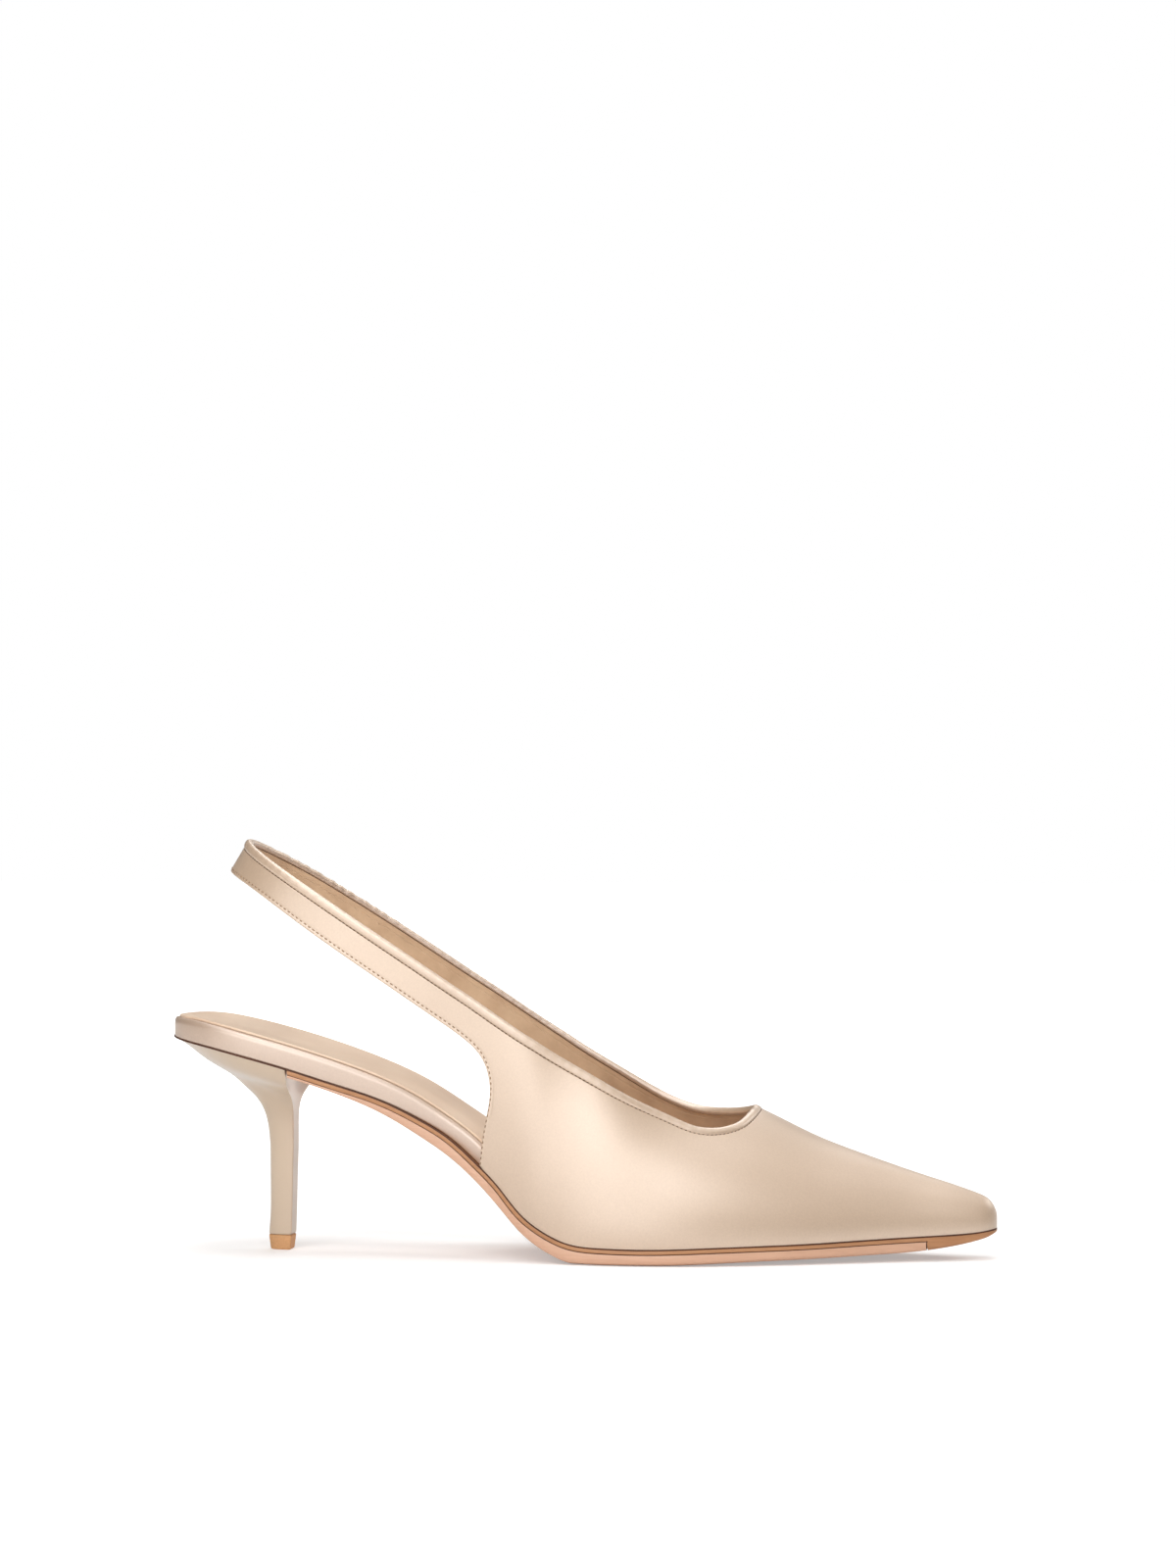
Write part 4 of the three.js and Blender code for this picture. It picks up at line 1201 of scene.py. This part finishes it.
def stem_points(side, height, front, back, half):
    def breast(share):
        return front, side * half * share, height

    def behind(share):
        turn = share * math.pi / 2
        return lerp(front, back, math.sin(turn)), side * half * math.cos(turn), height

    return half_ring(breast, behind)


def close_ring(outer, inner):
    return np.vstack([outer, inner[1:-1][::-1]])


def stem_ring(height, row, pull=0.0):
    """A ring of the stem, drawn in a little where its edge is rounded."""
    row = row + np.array([-pull, pull, -pull])
    return close_ring(stem_points(-1, height, *row), stem_points(1, height, *row))


CORNER_SAMPLES, CORNER_FALL = 9, 1.6


def round_corners(ring, reach):
    """Softens a ring's corners over a small reach, in millimetres."""
    closed = np.vstack([ring, ring[:1]])
    arc = arc_length(closed)
    offsets = np.linspace(-reach, reach, CORNER_SAMPLES)
    weights = np.exp(-(offsets / reach * CORNER_FALL) ** 2)
    result = np.zeros_like(ring)
    for offset, weight in zip(offsets, weights / weights.sum()):
        result += weight * along_path((arc[:-1] + offset) % arc[-1], arc, closed)
    return result


def fan_loft(rings, last_middle=None):
    """A closed body from rings, with a fan of triangles at each end."""
    rows, columns = len(rings), len(rings[0])
    points = list(np.vstack(rings))
    faces = grid_faces(rows, columns, wrap_columns=True)
    for row, forward, middle in ((0, False, None), (rows - 1, True, last_middle)):
        points.append(rings[row].mean(0) if middle is None else middle)
        tip, base = len(points) - 1, row * columns
        for k in range(columns):
            face = (base + k, base + (k + 1) % columns, tip)
            faces.append(face if forward else face[::-1])
    return np.array(points), faces


# Height above the heel's lowest ring, and how far the edge is drawn in there
HEEL_FOOT = ((0.0, 0.35), (0.1, 0.15), (0.3, 0.0))
STEM_START, STEM_RINGS, SEAT_RINGS = 0.6, 24, 60
HEEL_CORNER, LIFT_CORNER = 0.7, 0.6
SEAT_DIP = 0.1


def build_heel():
    stem = natural_spline(STEM[:, 0], STEM[:, 1:])
    flare = natural_spline(FLARE[:, 0], FLARE[:, 1:])
    low = STEM[0, 0]
    rings = [stem_ring(low + rise, stem(low + rise), pull) for rise, pull in HEEL_FOOT]
    for height in np.linspace(low + STEM_START, STEM_TOP, STEM_RINGS):
        rings.append(stem_ring(height, stem(height)))
    seats = {side: seat_points(side) for side in (-1, 1)}
    stems = {side: stem_points(side, *STEM[-1]) for side in (-1, 1)}
    turn = np.clip((np.arange(BREAST_STEPS + BACK_STEPS + 1) - BREAST_STEPS) / BACK_STEPS, 0, 1)
    turn = smoothstep(0, 1, turn)
    for share in np.linspace(0, 1, SEAT_RINGS + 1)[1:]:
        back, sides = np.maximum(0, flare(share))
        parts = {}
        for side in (-1, 1):
            parts[side] = lerp(stems[side], seats[side], lerp(sides, back, turn)[:, None])
            parts[side][:, 2] = lerp(STEM_TOP, seats[side][:, 2], share)
        rings.append(close_ring(parts[-1], parts[1]))
    rings = [round_corners(ring, HEEL_CORNER) for ring in rings]
    middle = rings[-1].mean(0)
    middle[2] = float(midsole_top(middle[0])) - SEAT_DIP
    points, faces = fan_loft(rings, middle)
    add_piece("lacquered_heel", points, faces, LACQUER, "heel",
              sharp=UPPER_CREASE)


build_heel()

# Height of each of the lift's rings, and how far the edge is drawn in there
LIFT_RINGS = ((0, 0.3), (0.12, 0.1), (0.35, 0), (1.2, 0), (2.2, 0), (3.4, 0),
              (LIFT_HEIGHT - 0.1, 0), (LIFT_HEIGHT, 0.12), (LIFT_HEIGHT + 0.15, 0.2))


def build_lift():
    curve = natural_spline(LIFT[:, 0], LIFT[:, 1:])
    rings = [round_corners(stem_ring(height, curve(height), pull), LIFT_CORNER)
             for height, pull in LIFT_RINGS]
    points, faces = fan_loft(rings)
    add_piece("rubber_top_lift", points, faces, RUBBER, "top_lift")


build_lift()


# Stitches

# Along a thread: share of its length, share of its thickness, and how deep it dives
THREAD_STOPS = np.array([-0.5, -0.46, -0.3, 0, 0.3, 0.46, 0.5])
THREAD_SIZES = np.array([0.25, 0.65, 0.95, 1.0, 0.95, 0.65, 0.25])
THREAD_DIVES = np.array([1.0, 0.6, 0.15, 0, 0.15, 0.6, 1.0])
THREAD_RISE, THREAD_DIVE = 0.5, 1.2


def stitch_row(name, path, out, material, pitch, length, radius, sink, tilt=0.0):
    """Short rounded threads along a path, half sunk in the cloth."""
    points, _ = resample(np.hstack([path, out]), pitch, closed=False)
    centre, normal = points[:, :3], unit(points[:, 3:])
    along = unit(np.gradient(centre, axis=0))
    along = along * math.cos(tilt) + np.cross(normal, along) * math.sin(tilt)
    beside = np.cross(normal, along)
    rings, faces = [], []
    for c, n, a, b in zip(centre, normal, along, beside):
        faces += tube_faces(len(THREAD_STOPS), len(rings) * CORD_SIDES)
        section = np.cos(CORD_TURNS)[:, None] * b + np.sin(CORD_TURNS)[:, None] * n
        for stop, size, down in zip(THREAD_STOPS, THREAD_SIZES, THREAD_DIVES):
            height = radius * THREAD_RISE - sink - down * radius * THREAD_DIVE
            rings.append(c + a * stop * length + n * height + radius * size * section)
    add_piece(name, np.vstack(rings), faces, material, None)


STITCH_SAMPLES = 121


def sheet_path(side, distance):
    """A line on the sheet at a set distance up each strap rib, with its normals."""
    rows = []
    for rib in upper_ribs(side)[FIRST_STRAP_RIB:]:
        line = rib.at(np.linspace(0, 1, STITCH_SAMPLES))
        rows.append(along_path([distance], arc_length(line), line)[0])
    closest = [np.argmin(((SHEET.points - row) ** 2).sum(1)) for row in rows]
    return np.array(rows), SHEET.normals[closest]


STITCH_DEPTH, SEAM_RISE, SEAM_INSET = 0.06, 0.1, 0.02


def build_stitches():
    outer, outer_normal = sheet_path(-1, STITCH_INSET)
    inner, inner_normal = sheet_path(1, STITCH_INSET)
    path = np.vstack([outer, inner[::-1][1:]])
    out = np.vstack([outer_normal, inner_normal[::-1][1:]])
    path = path + out * (gathers(path) - STITCH_DEPTH)[:, None]
    stitch_row("edge_stitches", path, out, THREAD, pitch=1.62, length=1.0, radius=0.19,
               sink=0.05)
    path, out, up = BINDING
    seam = path + up * SEAM_RISE - out * SEAM_INSET
    stitch_row("seam_stitches", np.vstack([seam, seam[:1]]), np.vstack([out, out[:1]]),
               SEAM_THREAD, pitch=1.35, length=0.75, radius=0.13, sink=0.12, tilt=0.35)


build_stitches()


# Floor and light
FLOOR_REACH = 6.0
# The floor's glow, weak round the shoe and full at these metres from it
GLOW, GLOW_PLACES = (0.05, 1.0), (0.3, 1.3)
# The camera sees a brighter floor and backdrop than those that light the shoe.
SEEN_GLOW, AMBIENT = 0.3, 0.03
FLOOR_TONES = [(0.3, (0.8, 0.8, 0.8)), (0.7, (0.82, 0.82, 0.82))]
WARM, WHITE = (1, 0.92, 0.84), (1, 1, 1)
RIG_CENTRE = Vector((0.0, 0.0, 0.05))

# Azimuth and elevation, distance, width and height in metres, and power of each light
LIGHTS = {
    "key": (-16, 22, 1.3, 1.05, 1.05, 7.1),
    "front_top": (2, 44, 1.3, 0.9, 0.6, 5.9),
    "top": (0, 85, 1.3, 0.7, 0.6, 7.8),
    "back_right": (120, 35, 1.3, 0.6, 0.5, 3.0),
    "back": (180, 50, 1.3, 0.6, 0.6, 4.2),
    "backdrop": (152, 8, 1.8, 2.0, 0.8, 3.6),
}


def build_floor():
    mesh = bpy.data.meshes.new("floor")
    corners = [(x * FLOOR_REACH, y * FLOOR_REACH, 0)
               for x, y in ((-1, -1), (1, -1), (1, 1), (-1, 1))]
    mesh.from_pydata(corners, [], [(0, 1, 2, 3)])
    floor = bpy.data.objects.new("floor", mesh)
    bpy.context.scene.collection.objects.link(floor)
    look = Look("floor", Roughness=0.9)
    look.link(look.ramp(look.noise(2.0, 1.0), FLOOR_TONES), look.shader.inputs["Base Color"])
    away = look.node("ShaderNodeVectorMath", operation="LENGTH")
    look.link(look.place(), away.inputs[0])
    far = look.node("ShaderNodeMapRange", in_To_Min=GLOW[0], in_To_Max=GLOW[1],
                    in_From_Min=GLOW_PLACES[0], in_From_Max=GLOW_PLACES[1])
    look.link(away.outputs["Value"], far.inputs["Value"])
    seen = look.node("ShaderNodeLightPath").outputs["Is Camera Ray"]
    lift = look.node("ShaderNodeMath", operation="MULTIPLY_ADD")
    lift.inputs[1].default_value = SEEN_GLOW
    look.link(seen, lift.inputs[0])
    look.link(far.outputs["Result"], lift.inputs[2])
    look.link(lift.outputs["Value"], look.shader.inputs["Emission Strength"])
    warm = look.ramp(seen, [(0, WARM), (1, WHITE)])
    look.link(warm, look.shader.inputs["Emission Color"])
    mesh.materials.append(look.material)


def build_world():
    world = bpy.data.worlds.new("world")
    bpy.context.scene.world = world
    world.use_nodes = True
    tree = world.node_tree
    sky = tree.nodes["Background"]
    sky.inputs["Color"].default_value = (*WHITE, 1)
    seen = tree.nodes.new("ShaderNodeLightPath")
    strength = tree.nodes.new("ShaderNodeMapRange")
    strength.inputs["To Min"].default_value = AMBIENT
    strength.inputs["To Max"].default_value = 1.0
    tree.links.new(seen.outputs["Is Camera Ray"], strength.inputs["Value"])
    tree.links.new(strength.outputs["Result"], sky.inputs["Strength"])


def area_light(name, azimuth, elevation, distance, width, height, power):
    """A soft light on a sphere round the shoe; azimuth 0 is the camera's side."""
    data = bpy.data.lights.new(name, "AREA")
    data.shape = "RECTANGLE"
    data.size, data.size_y = width, height
    data.energy = power
    light = bpy.data.objects.new(name, data)
    bpy.context.scene.collection.objects.link(light)
    turn, rise = math.radians(azimuth), math.radians(elevation)
    away = Vector((math.sin(turn) * math.cos(rise), -math.cos(turn) * math.cos(rise),
                   math.sin(rise)))
    light.location = RIG_CENTRE + away * distance
    light.rotation_euler = (-away).to_track_quat("-Z", "Y").to_euler()
    light.visible_camera = False


build_floor()
build_world()
for light_name, row in LIGHTS.items():
    area_light(light_name, *row)

scene = bpy.context.scene
scene.view_settings.view_transform = "Standard"
scene.view_settings.look = "None"
